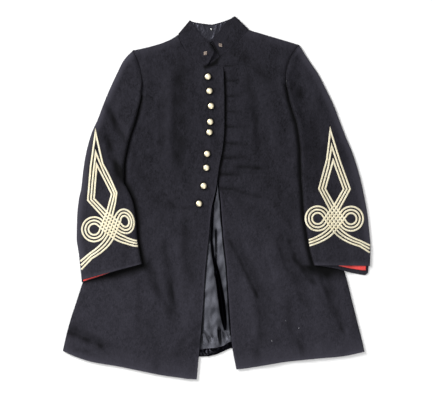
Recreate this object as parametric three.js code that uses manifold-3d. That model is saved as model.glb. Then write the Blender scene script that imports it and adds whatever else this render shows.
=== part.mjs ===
// A military tunic laid flat on its back with its skirts spread: stand collar, single row of
// ball buttons, a braid knot on each sleeve, and the satin back lining in the open front.
// Millimetres, +Z up, +Y from the hem to the collar. The wearer's right side is at -X. The origin
// is in the middle of the outline, on the surface that the tunic lies on.

import * as THREE from 'three';
import { mergeVertices } from 'three/addons/utils/BufferGeometryUtils.js';
import Module from 'manifold-3d';

const wasm = await Module();
wasm.setup();

// ---------------------------------------------------------------- driving sizes
const SEAM = 0.3; // gap between pieces at a seam and between one layer and the next
const CLOTH = 2.5; // wool melton with its interlining
const LINING = 1; // satin lining or facing
const CUFF_LINING = 0.6;
const BODY_LOFT = 3.2; // rise of the fronts off the back, inside their seams
const EDGE_LOFT = 1.6; // the same along the pressed front edges, over the lining
const HEM_LOFT = 1.2;
const CHEST_PADDING = 3; // canvas and wadding inside the chest
const SLEEVE_LOFT = 3; // rise of a top sleeve off its under sleeve
const CUFF_LOFT = 1.3; // the same at the open end of the cuff
const ROLL = 16; // width over which a wall rolls down to its seam
const LAP_GAP = 0.8; // between the two fronts where they overlap
const SLEEVE_RISE = 10.2; // height of a sleeve's underside where it lies on a front
const RISE_OUT = 34; // a sleeve comes down to the floor this far outside the body
const RISE_IN = 17; // and is at its full rise this far inside it
const BACK_TOP = CLOTH;
const LAYER_1 = BACK_TOP + SEAM; // lowest height of what lies on the back

// ---------------------------------------------------------------- small functions
const { lerp, clamp } = THREE.MathUtils;
const ease = (x) => THREE.MathUtils.smoothstep(x, 0, 1);
const roll = (distance) => 1 - (1 - clamp(distance / ROLL, 0, 1)) ** 2;
const mix = (a, b, t) => a.map((value, k) => lerp(value, b[k], t));
const table = (columns, rows) =>
  rows.map((row) => Object.fromEntries(columns.map((name, k) => [name, row[k]])));

// A curve bent once, between two ends
function bent(start, control, end) {
  return (t) => mix(mix(start, control, t), mix(control, end, t), t);
}

// The same curve in straight facets, so that pieces on its two sides meet along one line
function faceted(curve, count) {
  return (t) => {
    const place = clamp(t, 0, 1) * count;
    const first = Math.min(Math.floor(place), count - 1);
    return mix(curve(first / count), curve((first + 1) / count), place - first);
  };
}

// A smooth value between the rows of one column, which never overshoots them
function between(rows, column, place) {
  const values = rows.map((row) => row[column]);
  const last = values.length - 1;
  const step = (k) => values[k + 1] - values[k];
  const slope = (k) => {
    if (k === 0) return step(0);
    if (k === last) return step(last - 1);
    const product = step(k - 1) * step(k);
    return product <= 0 ? 0 : (2 * product) / (step(k - 1) + step(k));
  };
  const k = clamp(Math.floor(place), 0, last - 1);
  const t = clamp(place - k, 0, 1);
  const start = values[k] + slope(k) * t * (1 - t) ** 2;
  const end = slope(k + 1) * t * t * (t - 1);
  return start + step(k) * t * t * (3 - 2 * t) + end;
}

// The x of a line of points at height y, from points that run down in y
function acrossAt(points, y) {
  if (y >= points[0][1]) return points[0][0];
  for (let k = 1; k < points.length; k += 1) {
    if (y >= points[k][1]) {
      const share = (points[k - 1][1] - y) / (points[k - 1][1] - points[k][1]);
      return lerp(points[k - 1][0], points[k][0], share);
    }
  }
  return points.at(-1)[0];
}

// A column's value at a place in another column, straight between the rows
function lookUp(rows, from, to, place) {
  const next = rows.findIndex((row) => row[from] >= place);
  if (next < 0) return rows.at(-1)[to];
  if (next === 0) return rows[0][to];
  const [a, b] = [rows[next - 1], rows[next]];
  return lerp(a[to], b[to], (place - a[from]) / (b[from] - a[from]));
}

// The same with a smooth curve through the rows
function smoothLookUp(rows, from, to, place) {
  const next = clamp(rows.findIndex((row) => row[from] >= place), 1, rows.length - 1);
  const [a, b] = [rows[next - 1], rows[next]];
  return between(rows, to, next - 1 + (place - a[from]) / (b[from] - a[from]));
}

// The height that rows of soft folds add at a point: a row is a ridge, or a trough if height < 0
function foldHeight(folds, x, y) {
  let height = 0;
  for (const fold of folds) {
    const run = [fold.x1 - fold.x0, fold.y1 - fold.y0];
    const length2 = run[0] ** 2 + run[1] ** 2;
    const along = ((x - fold.x0) * run[0] + (y - fold.y0) * run[1]) / length2;
    const t = clamp(along, 0, 1);
    const away2 = (x - fold.x0 - t * run[0]) ** 2 + (y - fold.y0 - t * run[1]) ** 2;
    height += fold.height * Math.exp(-away2 / fold.width ** 2);
  }
  return height;
}

// Places of the grid's rows: each interval of a table in equal parts no longer than step
function stations(lengths, step, least = 1) {
  const places = [0];
  lengths.forEach((length, k) => {
    const parts = Math.max(Math.ceil(length / step), k < least ? 2 : 1);
    for (let part = 1; part <= parts; part += 1) places.push(k + part / parts);
  });
  return places;
}

// ---------------------------------------------------------------- solids
// A closed wall between two grids of points, top[row][column] and bottom[row][column]
function wall(top, bottom) {
  const rows = top.length;
  const columns = top[0].length;
  const count = rows * columns;
  const points = [...top.flat(), ...bottom.flat()];
  const faces = [];
  const quad = (a, b, c, d) => faces.push([a, b, c], [a, c, d]);
  for (let i = 0; i + 1 < rows; i += 1) {
    for (let j = 0; j + 1 < columns; j += 1) {
      const corner = i * columns + j;
      const cell = [corner, corner + 1, corner + columns + 1, corner + columns];
      const under = cell.map((k) => k + count);
      quad(...cell);
      faces.push([under[2], under[1], under[0]], [under[3], under[2], under[0]]);
    }
  }
  const rim = [];
  for (let j = 0; j < columns; j += 1) rim.push(j);
  for (let i = 1; i < rows; i += 1) rim.push(i * columns + columns - 1);
  for (let j = columns - 2; j >= 0; j -= 1) rim.push((rows - 1) * columns + j);
  for (let i = rows - 2; i > 0; i -= 1) rim.push(i * columns);
  rim.forEach((a, k) => {
    const b = rim[(k + 1) % rim.length];
    quad(b, a, a + count, b + count);
  });
  const corner = (k) => new THREE.Vector3(...points[k]);
  let volume = 0;
  for (const [a, b, c] of faces) volume += corner(a).dot(corner(b).cross(corner(c)));
  const outward = volume > 0 ? faces : faces.map(([a, b, c]) => [a, c, b]);
  const geometry = new THREE.BufferGeometry();
  geometry.setAttribute('position', new THREE.Float32BufferAttribute(points.flat(), 3));
  geometry.setIndex(outward.flat());
  return geometry;
}

// A wall as a height field: plan(u, v) gives x and y, base(x, y, u, v) the underside's height
function draped({ across, down, plan, base, thick }) {
  const bottom = down.map((v) =>
    across.map((u) => {
      const [x, y] = plan(u, v);
      return [x, y, base(x, y, u, v)];
    }),
  );
  const top = bottom.map((row, i) =>
    row.map(([x, y, z], j) => [x, y, z + thick(x, y, across[j], down[i])]),
  );
  return { top, bottom, geometry: wall(top, bottom) };
}

// The height of a wall's top facets over a point, or NaN beside the wall
function heightOn(top, x, y) {
  const within = (a, b, c) => {
    const area = (b[0] - a[0]) * (c[1] - a[1]) - (b[1] - a[1]) * (c[0] - a[0]);
    const second = ((x - a[0]) * (c[1] - a[1]) - (y - a[1]) * (c[0] - a[0])) / area;
    const third = ((b[0] - a[0]) * (y - a[1]) - (b[1] - a[1]) * (x - a[0])) / area;
    const least = -1e-6;
    if (second < least || third < least || second + third > 1 - least) return NaN;
    return a[2] + second * (b[2] - a[2]) + third * (c[2] - a[2]);
  };
  for (let i = 0; i + 1 < top.length; i += 1) {
    for (let j = 0; j + 1 < top[0].length; j += 1) {
      const [a, b, c, d] = [top[i][j], top[i][j + 1], top[i + 1][j + 1], top[i + 1][j]];
      const first = within(a, b, c);
      if (!Number.isNaN(first)) return first;
      const second = within(a, c, d);
      if (!Number.isNaN(second)) return second;
    }
  }
  return NaN;
}

// three.js geometry to a manifold-3d solid
function solid(geometry) {
  const plain = geometry.clone();
  plain.deleteAttribute('normal');
  plain.deleteAttribute('uv');
  const merged = mergeVertices(plain, 1e-4);
  return new wasm.Manifold(
    new wasm.Mesh({
      numProp: 3,
      vertProperties: new Float32Array(merged.attributes.position.array),
      triVerts: new Uint32Array(merged.index.array),
    }),
  );
}

// A flat plate of an outline, from z = low to low + thick
function plate(outline, thick, low = 0) {
  const shape = new THREE.Shape(outline.map(([x, y]) => new THREE.Vector2(x, y)));
  const geometry = new THREE.ExtrudeGeometry(shape, { depth: thick, bevelEnabled: false });
  return geometry.translate(0, 0, low);
}

// Lays a flat solid on a wall: its faces are halved across their longest sides until they follow
// the wall as closely as asked, then moved out
function laidOn(top, points, faces, gap, closeness) {
  const verts = points.map((point) => [...point]);
  const floor = (point) => heightOn(top, point[0], point[1]);
  const heights = verts.map(floor);
  const key = (a, b) => (a < b ? `${a}_${b}` : `${b}_${a}`);
  const length = (a, b) => Math.hypot(...verts[a].map((value, k) => value - verts[b][k]));
  const known = new Map();
  const strays = (a, b) => {
    const name = key(a, b);
    if (!known.has(name)) {
      const off = [0.25, 0.5, 0.75].map((t) =>
        Math.abs(floor(mix(verts[a], verts[b], t)) - lerp(heights[a], heights[b], t)),
      );
      known.set(name, length(a, b) > 3 && Math.max(...off) > closeness);
    }
    return known.get(name);
  };
  // a face starts with its longest side
  const turned = ([a, b, c]) => {
    const sides = [length(a, b), length(b, c), length(c, a)];
    const longest = sides.indexOf(Math.max(...sides));
    return [[a, b, c], [b, c, a], [c, a, b]][longest];
  };
  let triangles = faces.map(turned);
  for (;;) {
    const marked = new Set();
    for (const [a, b, c] of triangles) {
      for (const [p, q] of [[a, b], [b, c], [c, a]]) if (strays(p, q)) marked.add(key(p, q));
    }
    if (marked.size === 0) break;
    for (let before = 0; before < marked.size; ) {
      before = marked.size;
      for (const [a, b, c] of triangles) {
        if (marked.has(key(b, c)) || marked.has(key(c, a))) marked.add(key(a, b));
      }
    }
    const middles = new Map();
    const middle = (a, b) => {
      const name = key(a, b);
      if (!marked.has(name)) return -1;
      if (!middles.has(name)) {
        verts.push(mix(verts[a], verts[b], 0.5));
        heights.push(floor(verts.at(-1)));
        middles.set(name, verts.length - 1);
      }
      return middles.get(name);
    };
    triangles = triangles.flatMap(([a, b, c]) => {
      const [ab, bc, ca] = [middle(a, b), middle(b, c), middle(c, a)];
      if (ab < 0) return [[a, b, c]];
      const first = ca < 0 ? [[a, ab, c]] : [[a, ab, ca], [ab, c, ca]];
      const second = bc < 0 ? [[ab, b, c]] : [[ab, b, bc], [ab, bc, c]];
      return [...first, ...second].map(turned);
    });
  }
  const geometry = new THREE.BufferGeometry();
  const laid = verts.flatMap(([x, y, z], k) => [x, y, z + heights[k] + gap]);
  geometry.setAttribute('position', new THREE.Float32BufferAttribute(laid, 3));
  geometry.setIndex(triangles.flat());
  return geometry;
}

// The same for a manifold-3d solid
function solidLaidOn(top, body, gap, closeness) {
  const mesh = body.getMesh();
  const points = [];
  for (let k = 0; k < mesh.vertProperties.length; k += mesh.numProp) {
    points.push([...mesh.vertProperties.slice(k, k + 3)]);
  }
  const faces = [];
  for (let k = 0; k < mesh.triVerts.length; k += 3) faces.push([...mesh.triVerts.slice(k, k + 3)]);
  return laidOn(top, points, faces, gap, closeness);
}

// ---------------------------------------------------------------- seams of the body
const ARM_FACETS = { right: 10, left: 12 };
const armhole = {
  right: faceted(bent([-218, 383], [-166, 300], [-231, 189]), ARM_FACETS.right),
  left: faceted(bent([214, 397], [140, 315], [227, 189]), ARM_FACETS.left),
};
const NECK_ROWS = 4;
const neck = {
  right: faceted(bent([-101, 424], [-86, 366], [-25, 342]), 2 * NECK_ROWS),
  left: faceted(bent([83, 436], [30, 378], [7, 365]), 2 * NECK_ROWS),
};
const backNeck = faceted(bent([-101, 424], [-14, 374], [83, 436]), 12);
const shoulder = {
  right: bent([-218, 383], [-126, 400], [-101, 424]),
  left: bent([214, 397], [148, 417], [83, 436]),
};

// Side seams, from the armpit to the hem
const SIDE = {
  right: table(['x', 'y'], [
    [-231, 189],
    [-246, 124],
    [-254, 72],
    [-263, 20],
    [-283, -37],
    [-306, -97],
    [-327, -157],
    [-349, -222],
    [-365, -271],
    [-381, -320],
    [-392, -362],
    [-400, -398],
  ]),
  left: table(['x', 'y'], [
    [227, 189],
    [241, 124],
    [252, 72],
    [263, 20],
    [278, -25],
    [290, -60],
    [302, -97],
    [320, -154],
    [337, -210],
    [352, -270],
    [367, -330],
    [376, -365],
    [384, -400],
  ]),
};

// Front edges, from the end of the neck seam to the hem
const EDGE = {
  right: table(['x', 'y'], [
    [-25, 342],
    [16, 340],
    [19, 293],
    [20, 241],
    [20, 184],
    [16, 135],
    [7, 85],
    [-2, 23],
    [-14, -32],
    [-21, -105],
    [-30, -188],
    [-36, -287],
    [-52, -472],
  ]),
  left: table(['x', 'y'], [
    [7, 365],
    [-18, 349],
    [-17, 310],
    [-10, 254],
    [-7, 202],
    [-2, 150],
    [1, 98],
    [6, 32],
    [11, -15],
    [17, -100],
    [25, -170],
    [30, -245],
    [34.5, -310],
    [40, -385],
    [51, -446],
  ]),
};

// How far each front's hem hangs below its chord, at shares of the way from the side to the edge
const HEM_DROP = {
  right: table(['share', 'drop'], [
    [0, 0],
    [0.1, 8],
    [0.22, 12],
    [0.45, 9],
    [0.7, 8.5],
    [0.93, 3.5],
    [1, 0],
  ]),
  left: table(['share', 'drop'], [
    [0, 0],
    [0.17, 4],
    [0.4, 0.5],
    [0.63, -1.8],
    [0.9, 0.6],
    [1, 0],
  ]),
};
const ARM_ROWS = { right: ARM_FACETS.right / 2, left: ARM_FACETS.left / 2 };

// Rows of the back's own hem, which hangs a little higher than the fronts'
const BACK_HEM = table(['x', 'y'], [
  [-398, -396],
  [-300, -402],
  [-230, -408],
  [-130, -413],
  [-44, -413],
  [-20, -412],
  [0, -407],
  [18, -399],
  [34, -391],
  [60, -390],
  [130, -397],
  [250, -402],
  [382, -399],
]);

// The largest folds of each front, as soft ridges and troughs
const FOLD_COLUMNS = ['x0', 'y0', 'x1', 'y1', 'width', 'height'];
const BODY_FOLDS = {
  right: table(FOLD_COLUMNS, [
    [-101, 350, -101, 130, 16, -1],
    [-140, 232, -140, 140, 9, -1.4],
    [-171, -200, -140, -262, 11, -1.8],
    [-122, -205, -117, -300, 11, -1.8],
    [-146, -215, -128, -290, 10, 0.7],
    [-375, -340, -300, -380, 14, -1.8],
    [-350, -310, -250, -352, 16, 0.7],
    [-86, -395, -46, -372, 11, -1.5],
    [-230, -240, -250, -400, 18, 0.7],
  ]),
  left: table(FOLD_COLUMNS, [
    [104, 228, 107, 140, 9, -1.4],
    [122, 186, 125, 150, 9, -1],
    [62, 75, 106, 75, 8, -1.2],
    [64, 6, 106, 4, 8, -1.2],
    [60, -140, 122, -250, 12, -1.8],
    [84, -140, 140, -240, 12, 0.7],
    [169, -118, 195, -192, 11, -1.6],
    [198, -122, 231, -192, 11, -1.8],
    [211, -200, 230, -262, 11, -1.5],
    [285, -214, 312, -300, 12, -1.8],
    [125, -266, 125, -330, 12, -1.4],
    [262, -230, 292, -390, 18, 0.7],
  ]),
};
const CHEST = { x: 118, y: 215, wide: 60, high: 95 }; // middle and reach of the chest padding

// Where the wearer's right front lies on the left one: it is raised over the hidden edge
const LAP = { low: -6, high: 48, before: 14, ramp: 14, flat: 42, slope: 26 };
const lapTop = LAYER_1 + EDGE_LOFT + CLOTH; // top of the left front beside its edge
const LAP_LOFT = lapTop + LAP_GAP - LAYER_1;
const hiddenEdge = EDGE.left.map(({ x, y }) => [x, y]);

// A front in its own (u, v): u from the side seam to the front edge, v down its rows
const FRONT_ACROSS = [
  0, 0.02, 0.06, 0.13, 0.22, 0.32, 0.42, 0.52, 0.61, 0.69, 0.76, 0.82, 0.88, 0.94, 1,
];
const FRONT_STEP = 68; // between the rows of a front, which take in two rows of the table at most
const EDGE_SLOPE = 30; // width over which the right front rises from its pressed edge
const HEM_SLOPE = 40; // height over which a front comes down to its hem, and
const HEM_SHARE = 0.2; // the share of its loft that it keeps there

function frontPanel(side) {
  const armRows = ARM_ROWS[side];
  const lastRow = armRows + SIDE[side].length - 1;
  const sideAt = (v) =>
    v <= armRows
      ? armhole[side](v / armRows)
      : ['x', 'y'].map((axis) => between(SIDE[side], axis, v - armRows));
  const edgeAt = (v) =>
    v <= NECK_ROWS
      ? neck[side](v / NECK_ROWS)
      : ['x', 'y'].map((axis) => between(EDGE[side], axis, v - NECK_ROWS));
  const distance = (a, b) => Math.hypot(a[0] - b[0], a[1] - b[1]);
  const lengths = Array.from({ length: lastRow }, (_, k) =>
    Math.max(distance(sideAt(k), sideAt(k + 1)), distance(edgeAt(k), edgeAt(k + 1))),
  );
  const plan = (u, v) => {
    const [x, y] = mix(sideAt(v), edgeAt(v), u);
    const chord = mix(sideAt(0), edgeAt(0), u);
    const yoke = ease(1 - v / 2);
    const hemward = ease((v - lastRow + 2) / 2);
    const drop = smoothLookUp(HEM_DROP[side], 'share', 'drop', u) * hemward;
    const toShoulder = shoulder[side](u).map((value, k) => (value - chord[k]) * yoke);
    return [x + toShoulder[0], y + toShoulder[1] - drop];
  };
  const from = (x, y, u, v) => {
    const section = distance(sideAt(v), edgeAt(v));
    return {
      side: u * section,
      edge: (1 - u) * section,
      top: distance([x, y], plan(u, 0)),
      hem: distance([x, y], plan(u, lastRow)),
    };
  };
  const quiet = (d) => roll(d.side) * roll(d.top) * ease((d.edge - LAP.flat) / LAP.slope);
  const base = (x, y, u, v) => {
    const d = from(x, y, u, v);
    const inward = side === 'left' ? (d.edge - LAP.flat) / LAP.slope : d.edge / EDGE_SLOPE;
    const fullness = v <= NECK_ROWS ? 1 : ease(inward);
    let loft = lerp(EDGE_LOFT, BODY_LOFT, fullness) * roll(d.side) * roll(d.top);
    loft = lerp(HEM_LOFT, loft, lerp(HEM_SHARE, 1, ease(d.hem / HEM_SLOPE)));
    if (side === 'right') {
      const past = x - acrossAt(hiddenEdge, y) + LAP.before + LAP.ramp;
      const lap = ease(past / LAP.ramp) * ease((y - LAP.low) / (LAP.high - LAP.low));
      loft = lerp(loft, Math.max(loft, LAP_LOFT), lap);
    }
    return LAYER_1 + loft + foldHeight(BODY_FOLDS[side], x, y) * quiet(d);
  };
  const thick = (x, y, u, v) => {
    const d = from(x, y, u, v);
    const outward = (Math.abs(x) - CHEST.x) / CHEST.wide;
    const upward = (y - CHEST.y) / CHEST.high;
    return CLOTH + CHEST_PADDING * Math.exp(-(outward ** 2) - upward ** 2) * quiet(d);
  };
  const down = stations(lengths, FRONT_STEP, armRows);
  return draped({ across: FRONT_ACROSS, down, plan, base, thick });
}

// ---------------------------------------------------------------- back and its lining
function backPanel() {
  const outline = [];
  const add = (curve, count, first = 0) => {
    for (let k = first; k < count; k += 1) outline.push(curve(k / count));
  };
  add((t) => shoulder.right(1 - t), 6);
  add(armhole.right, ARM_FACETS.right);
  SIDE.right.slice(0, -1).forEach(({ x, y }) => outline.push([x, y]));
  BACK_HEM.forEach(({ x, y }) => outline.push([x, y]));
  [...SIDE.left].reverse().slice(1).forEach(({ x, y }) => outline.push([x, y]));
  add((t) => armhole.left(1 - t), ARM_FACETS.left, 1);
  add(shoulder.left, 4);
  add((t) => backNeck(1 - t), 12);
  return plate(outline, CLOTH);
}

// The back lining in the open front, and the glossy facing of the back's hem below it
const UNDERLAP = 34; // how far the lining and the facing run on beneath each front
const LINING_ROWS = table(['y', 'leftEdge', 'rightEdge'], [
  [70, -3, 4],
  [23, -2, 7],
  [-32, -14, 13],
  [-105, -21, 18],
  [-188, -30, 27],
  [-287, -36, 33],
  [-340, -38, 37],
  [-390, -42, 40],
]);
const LINING_FOLDS = table(FOLD_COLUMNS, [
  [-1, 10, -4, -100, 7, 3.2],
  [-4, -100, 2, -196, 7, 2.6],
  [-22, -125, -18, -266, 6, 2],
  [-18, -266, -15, -372, 7, 2.4],
  [12, -70, 22, -266, 6, 2.2],
  [22, -266, 29, -366, 7, 2.6],
  [4, -300, 22, -345, 7, 1.6],
]);
const LINING_SHOWS = 8; // width over which its folds rise, and
const LINING_CALM = 0.7; // the rows over which they rise at both its ends
const LINING_EDGE = 0.2; // the share of u that lies beneath each front, and
const LINING_IN = 3; // how far inside a front's edge that share ends
const LINING_STEP = 42;
const LINING_ACROSS = [0, LINING_EDGE, 0.32, 0.41, 0.5, 0.59, 0.68, 1 - LINING_EDGE, 1];

// The lining's lower edge, which rises towards the wearer's left
const LINING_HEM = table(['x', 'y'], [
  [-76, -394],
  [-42, -393],
  [0, -389.5],
  [18, -384],
  [34, -373.5],
  [76, -371],
]);
const FACING_IN = 0.5; // the facing ends this far above the back's hem
const FACING_DROP = 1.2; // strip between the lining's lower edge and the facing's upper one

function backLining() {
  const lastRow = LINING_ROWS.length - 1;
  const plan = (u, v) => {
    const left = between(LINING_ROWS, 'leftEdge', v);
    const right = between(LINING_ROWS, 'rightEdge', v);
    const inner = (u - LINING_EDGE) / (1 - 2 * LINING_EDGE);
    const hidden = (UNDERLAP + LINING_IN) / LINING_EDGE;
    const inGap = lerp(left + LINING_IN, right - LINING_IN, clamp(inner, 0, 1));
    const past = Math.min(0, u - LINING_EDGE) + Math.max(0, u - 1 + LINING_EDGE);
    const x = inGap + past * hidden;
    const hemward = clamp(v - lastRow + 1, 0, 1);
    const toHem = (lookUp(LINING_HEM, 'x', 'y', x) - LINING_ROWS[lastRow].y) * hemward;
    return [x, between(LINING_ROWS, 'y', v) + toHem];
  };
  const base = (x, y, u, v) => {
    const inside = Math.min(
      x - between(LINING_ROWS, 'leftEdge', v),
      between(LINING_ROWS, 'rightEdge', v) - x,
    );
    const above = ease((lastRow - v) / LINING_CALM);
    const shown = ease((inside - LINING_IN) / LINING_SHOWS) * above * ease(v / LINING_CALM);
    return LAYER_1 + Math.max(0, foldHeight(LINING_FOLDS, x, y)) * shown;
  };
  const lengths = LINING_ROWS.slice(1).map((row, k) => LINING_ROWS[k].y - row.y);
  const down = stations(lengths, LINING_STEP);
  return draped({ across: LINING_ACROSS, down, plan, base, thick: () => LINING });
}

function backHemFacing() {
  const lastLining = LINING_ROWS.at(-1);
  const left = lastLining.leftEdge - UNDERLAP;
  const right = lastLining.rightEdge + UNDERLAP;
  const plan = (u, v) => {
    const x = lerp(left, right, u);
    const upper = lookUp(LINING_HEM, 'x', 'y', x) - FACING_DROP;
    const lower = lookUp(BACK_HEM, 'x', 'y', x) + FACING_IN;
    return [x, lerp(upper, lower, v)];
  };
  const across = [0, 0.15, 0.3, 0.4, 0.5, 0.6, 0.7, 0.85, 1];
  return draped({ across, down: [0, 0.5, 1], plan, base: () => LAYER_1, thick: () => LINING });
}

// ---------------------------------------------------------------- collar
// Each half is a band from the centre back, folded over at the side of the neck, to the front.
// Its rows give the neck seam, the top edge and the height of the middle of the wall.
const LOWER = CLOTH / 2;
const UPPER = 7.4;
const COLLAR_COLUMNS = ['neckX', 'neckY', 'topX', 'topY', 'neckZ', 'topZ'];
const COLLAR = {
  right: table(COLLAR_COLUMNS, [
    [-12.3, 402.4, -12.3, 450, LOWER, LOWER + 1.4],
    [-36, 404.6, -32, 452, LOWER, LOWER + 1.2],
    [-58, 408, -48, 454.5, LOWER, LOWER + 0.6],
    [-81, 414.6, -60, 457, LOWER, LOWER],
    [-95, 421.6, -65.6, 459, LOWER, LOWER],
    [-98.4, 423.4, -67.8, 460.2, LOWER + 1.1, LOWER + 1.1],
    [-99.7, 424, -68.8, 460.6, (LOWER + UPPER) / 2, (LOWER + UPPER) / 2],
    [-98.6, 421.4, -67.6, 459, UPPER - 1.1, UPPER - 1.1],
    [-96, 411.5, -63.6, 453, UPPER, UPPER],
    [-90, 397.6, -55.5, 442.5, UPPER, UPPER + 1],
    [-74.5, 374.7, -41, 423.5, UPPER, UPPER + 2.4],
    [-52.5, 356, -18, 404.5, UPPER, UPPER + 3],
    [-38.5, 348.4, -9, 391, UPPER, UPPER + 2.6],
    [-25, 342, -4.5, 380.5, UPPER + 2, UPPER + 2],
  ]),
  left: table(COLLAR_COLUMNS, [
    [-11.7, 402.4, -11.7, 450, LOWER, LOWER + 1.4],
    [8, 405.5, 6, 454.6, LOWER, LOWER + 1.2],
    [31, 411.6, 24, 460.5, LOWER, LOWER + 0.6],
    [58, 422.4, 38, 466.5, LOWER, LOWER],
    [78, 433, 43, 470, LOWER, LOWER],
    [81.6, 435.6, 45.2, 470.9, LOWER + 1.1, LOWER + 1.1],
    [82.9, 436.2, 46.2, 471.2, (LOWER + UPPER) / 2, (LOWER + UPPER) / 2],
    [80.9, 433.6, 45, 470.4, UPPER - 1.1, UPPER - 1.1],
    [74.5, 426.2, 38, 465.6, UPPER, UPPER],
    [58.4, 409.8, 24, 456.5, UPPER, UPPER + 1],
    [37.5, 389.3, 5.5, 431, UPPER, UPPER + 2.4],
    [20.4, 374.3, -10.5, 414.5, UPPER, UPPER + 3],
    [12.5, 369, -14, 408, UPPER + 0.6, UPPER + 3],
    [7, 365, -13.6, 404.6, UPPER + 1.2, UPPER + 3],
  ]),
};
const COLLAR_DOWN = [0, 0.25, 0.5, 0.75, 1];
const COLLAR_SEAM = 0.7; // the band starts this far above the neck seam's line

function bandPoint(rows, v, h) {
  const at = (name) => between(rows, name, v);
  const foot = new THREE.Vector3(at('neckX'), at('neckY'), at('neckZ'));
  const top = new THREE.Vector3(at('topX'), at('topY'), at('topZ'));
  foot.add(top.clone().sub(foot).setLength(COLLAR_SEAM));
  return foot.lerp(top, h);
}

// A band of the collar from row first to row last, with its outer and inner faces moved apart
function collarBand(rows, { places, heights, out, inn }) {
  const last = rows.length - 1;
  const grid = places.map((v) =>
    heights.map((h) => {
      const near = 0.05;
      const along = bandPoint(rows, Math.min(v + near, last), h).sub(
        bandPoint(rows, Math.max(v - near, 0), h),
      );
      const up = bandPoint(rows, v, 1).sub(bandPoint(rows, v, 0));
      return { point: bandPoint(rows, v, h), normal: along.cross(up).normalize() };
    }),
  );
  const moved = (distance) =>
    grid.map((row) =>
      row.map(({ point, normal }) => point.clone().addScaledVector(normal, distance).toArray()),
    );
  const [top, bottom] = [moved(out), moved(inn)];
  return { top, bottom, geometry: wall(top, bottom) };
}

function collarHalf(side) {
  const rows = COLLAR[side];
  const turns = Array.from({ length: 13 }, (_, k) => 4.5 + k / 2);
  const places = [0, 1, 2, 3, 4, ...turns, 11, 12, 13];
  const facing = side === 'right' ? 1 : -1;
  const [out, inn] = [(facing * CLOTH) / 2, (-facing * CLOTH) / 2];
  return collarBand(rows, { places, heights: COLLAR_DOWN, out, inn });
}

const COLLAR_SHOWN = 12; // the first of a half's rows that lie face up

// The collar's shiny inner face, only where the neck opening shows it
function collarLining() {
  const near = COLLAR.right.slice(0, 5).reverse();
  const far = COLLAR.left.slice(1, 5);
  const rows = [...near, ...far];
  const places = rows.map((_, k) => k);
  const inner = LOWER + SEAM;
  return collarBand(rows, {
    places,
    heights: [0.04, 0.35, 0.65, 0.97],
    out: inner + LINING,
    inn: inner,
  });
}

// ---------------------------------------------------------------- sleeves
// Rows across a sleeve laid flat, from its inner fold to its outer fold. A cuff's rows say how far
// the under sleeve shows past the top sleeve, at shares of the way across, and liningIn is the
// share of the last row that the red lining stays inside it.
const CUFF_COLUMNS = ['share', 'x', 'y'];
const SLEEVE_COLUMNS = ['innerX', 'innerY', 'outerX', 'outerY'];
const SLEEVE = {
  right: {
    fold: 0.5, // the share of the armhole where the sleeve starts to lie over the front
    rows: table(SLEEVE_COLUMNS, [
      [-195.4, 293, -218, 383],
      [-197, 261, -241, 358],
      [-205, 226, -262, 317],
      [-214, 192, -280, 278],
      [-226, 155, -296, 239],
      [-233, 127, -310, 202],
      [-239, 98, -324, 171],
      [-242, 70, -335, 135],
      [-242, 44, -343, 98],
      [-232, 23, -348, 62],
      [-219, -6, -352, 25],
      [-213, -32, -359, -8],
      [-209, -71, -363, -53],
      [-205, -110, -364, -105],
      [-200, -141, -359, -141],
      [-194, -171, -350, -213],
    ]),
    cuffDrop: table(CUFF_COLUMNS, [
      [0, 0, 0],
      [0.35, 0, 0],
      [0.7, 0, -4],
      [1, 0, -7],
    ]),
    liningIn: 0.03,
    folds: table(FOLD_COLUMNS, [
      [-283, 150, -268, 100, 8, -1.6],
      [-268, 100, -246, 50, 8, -2],
      [-272, 214, -247, 166, 10, -1.4],
      [-262, 90, -236, 60, 10, 1.2],
    ]),
  },
  left: {
    fold: 0.45,
    rows: table(SLEEVE_COLUMNS, [
      [180, 314, 214, 397],
      [182, 291, 242, 353],
      [188, 258, 263, 322],
      [197, 226, 283, 283],
      [208, 192, 302, 244],
      [213, 161, 320, 197],
      [217, 124, 335, 158],
      [218, 90, 349, 125],
      [219, 55, 362, 88],
      [222, 20, 375, 41],
      [224, -10, 385, -6],
      [227, -45, 391, -40],
      [233, -90, 396, -86],
      [240, -131, 399.5, -128],
      [252, -175, 398, -177],
    ]),
    cuffDrop: table(CUFF_COLUMNS, [
      [0, 0, 0],
      [0.1, 0, -1.5],
      [0.25, 0, -4.5],
      [0.41, 0, -8.5],
      [0.55, 0, -14],
      [0.66, 0, -18.5],
      [0.92, -1, -24],
      [1, -5, -18],
    ]),
    liningIn: 0.1,
    folds: table(FOLD_COLUMNS, [
      [232, 130, 300, 116, 12, -1.2],
      [330, -10, 352, -150, 16, 0.9],
      [250, 40, 300, 10, 14, -1],
    ]),
  },
};
const SLEEVE_ACROSS = [0, 0.04, 0.12, 0.25, 0.4, 0.55, 0.7, 0.84, 0.95, 1];
const CAP_GAP = 0.45; // at the armhole seam
const SLEEVE_STEP = 46; // between the rows of a sleeve
const RISE_START = 38; // the climb onto the front starts this far above the fold, and
const RISE_END = -8; // ends this far above it

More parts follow.
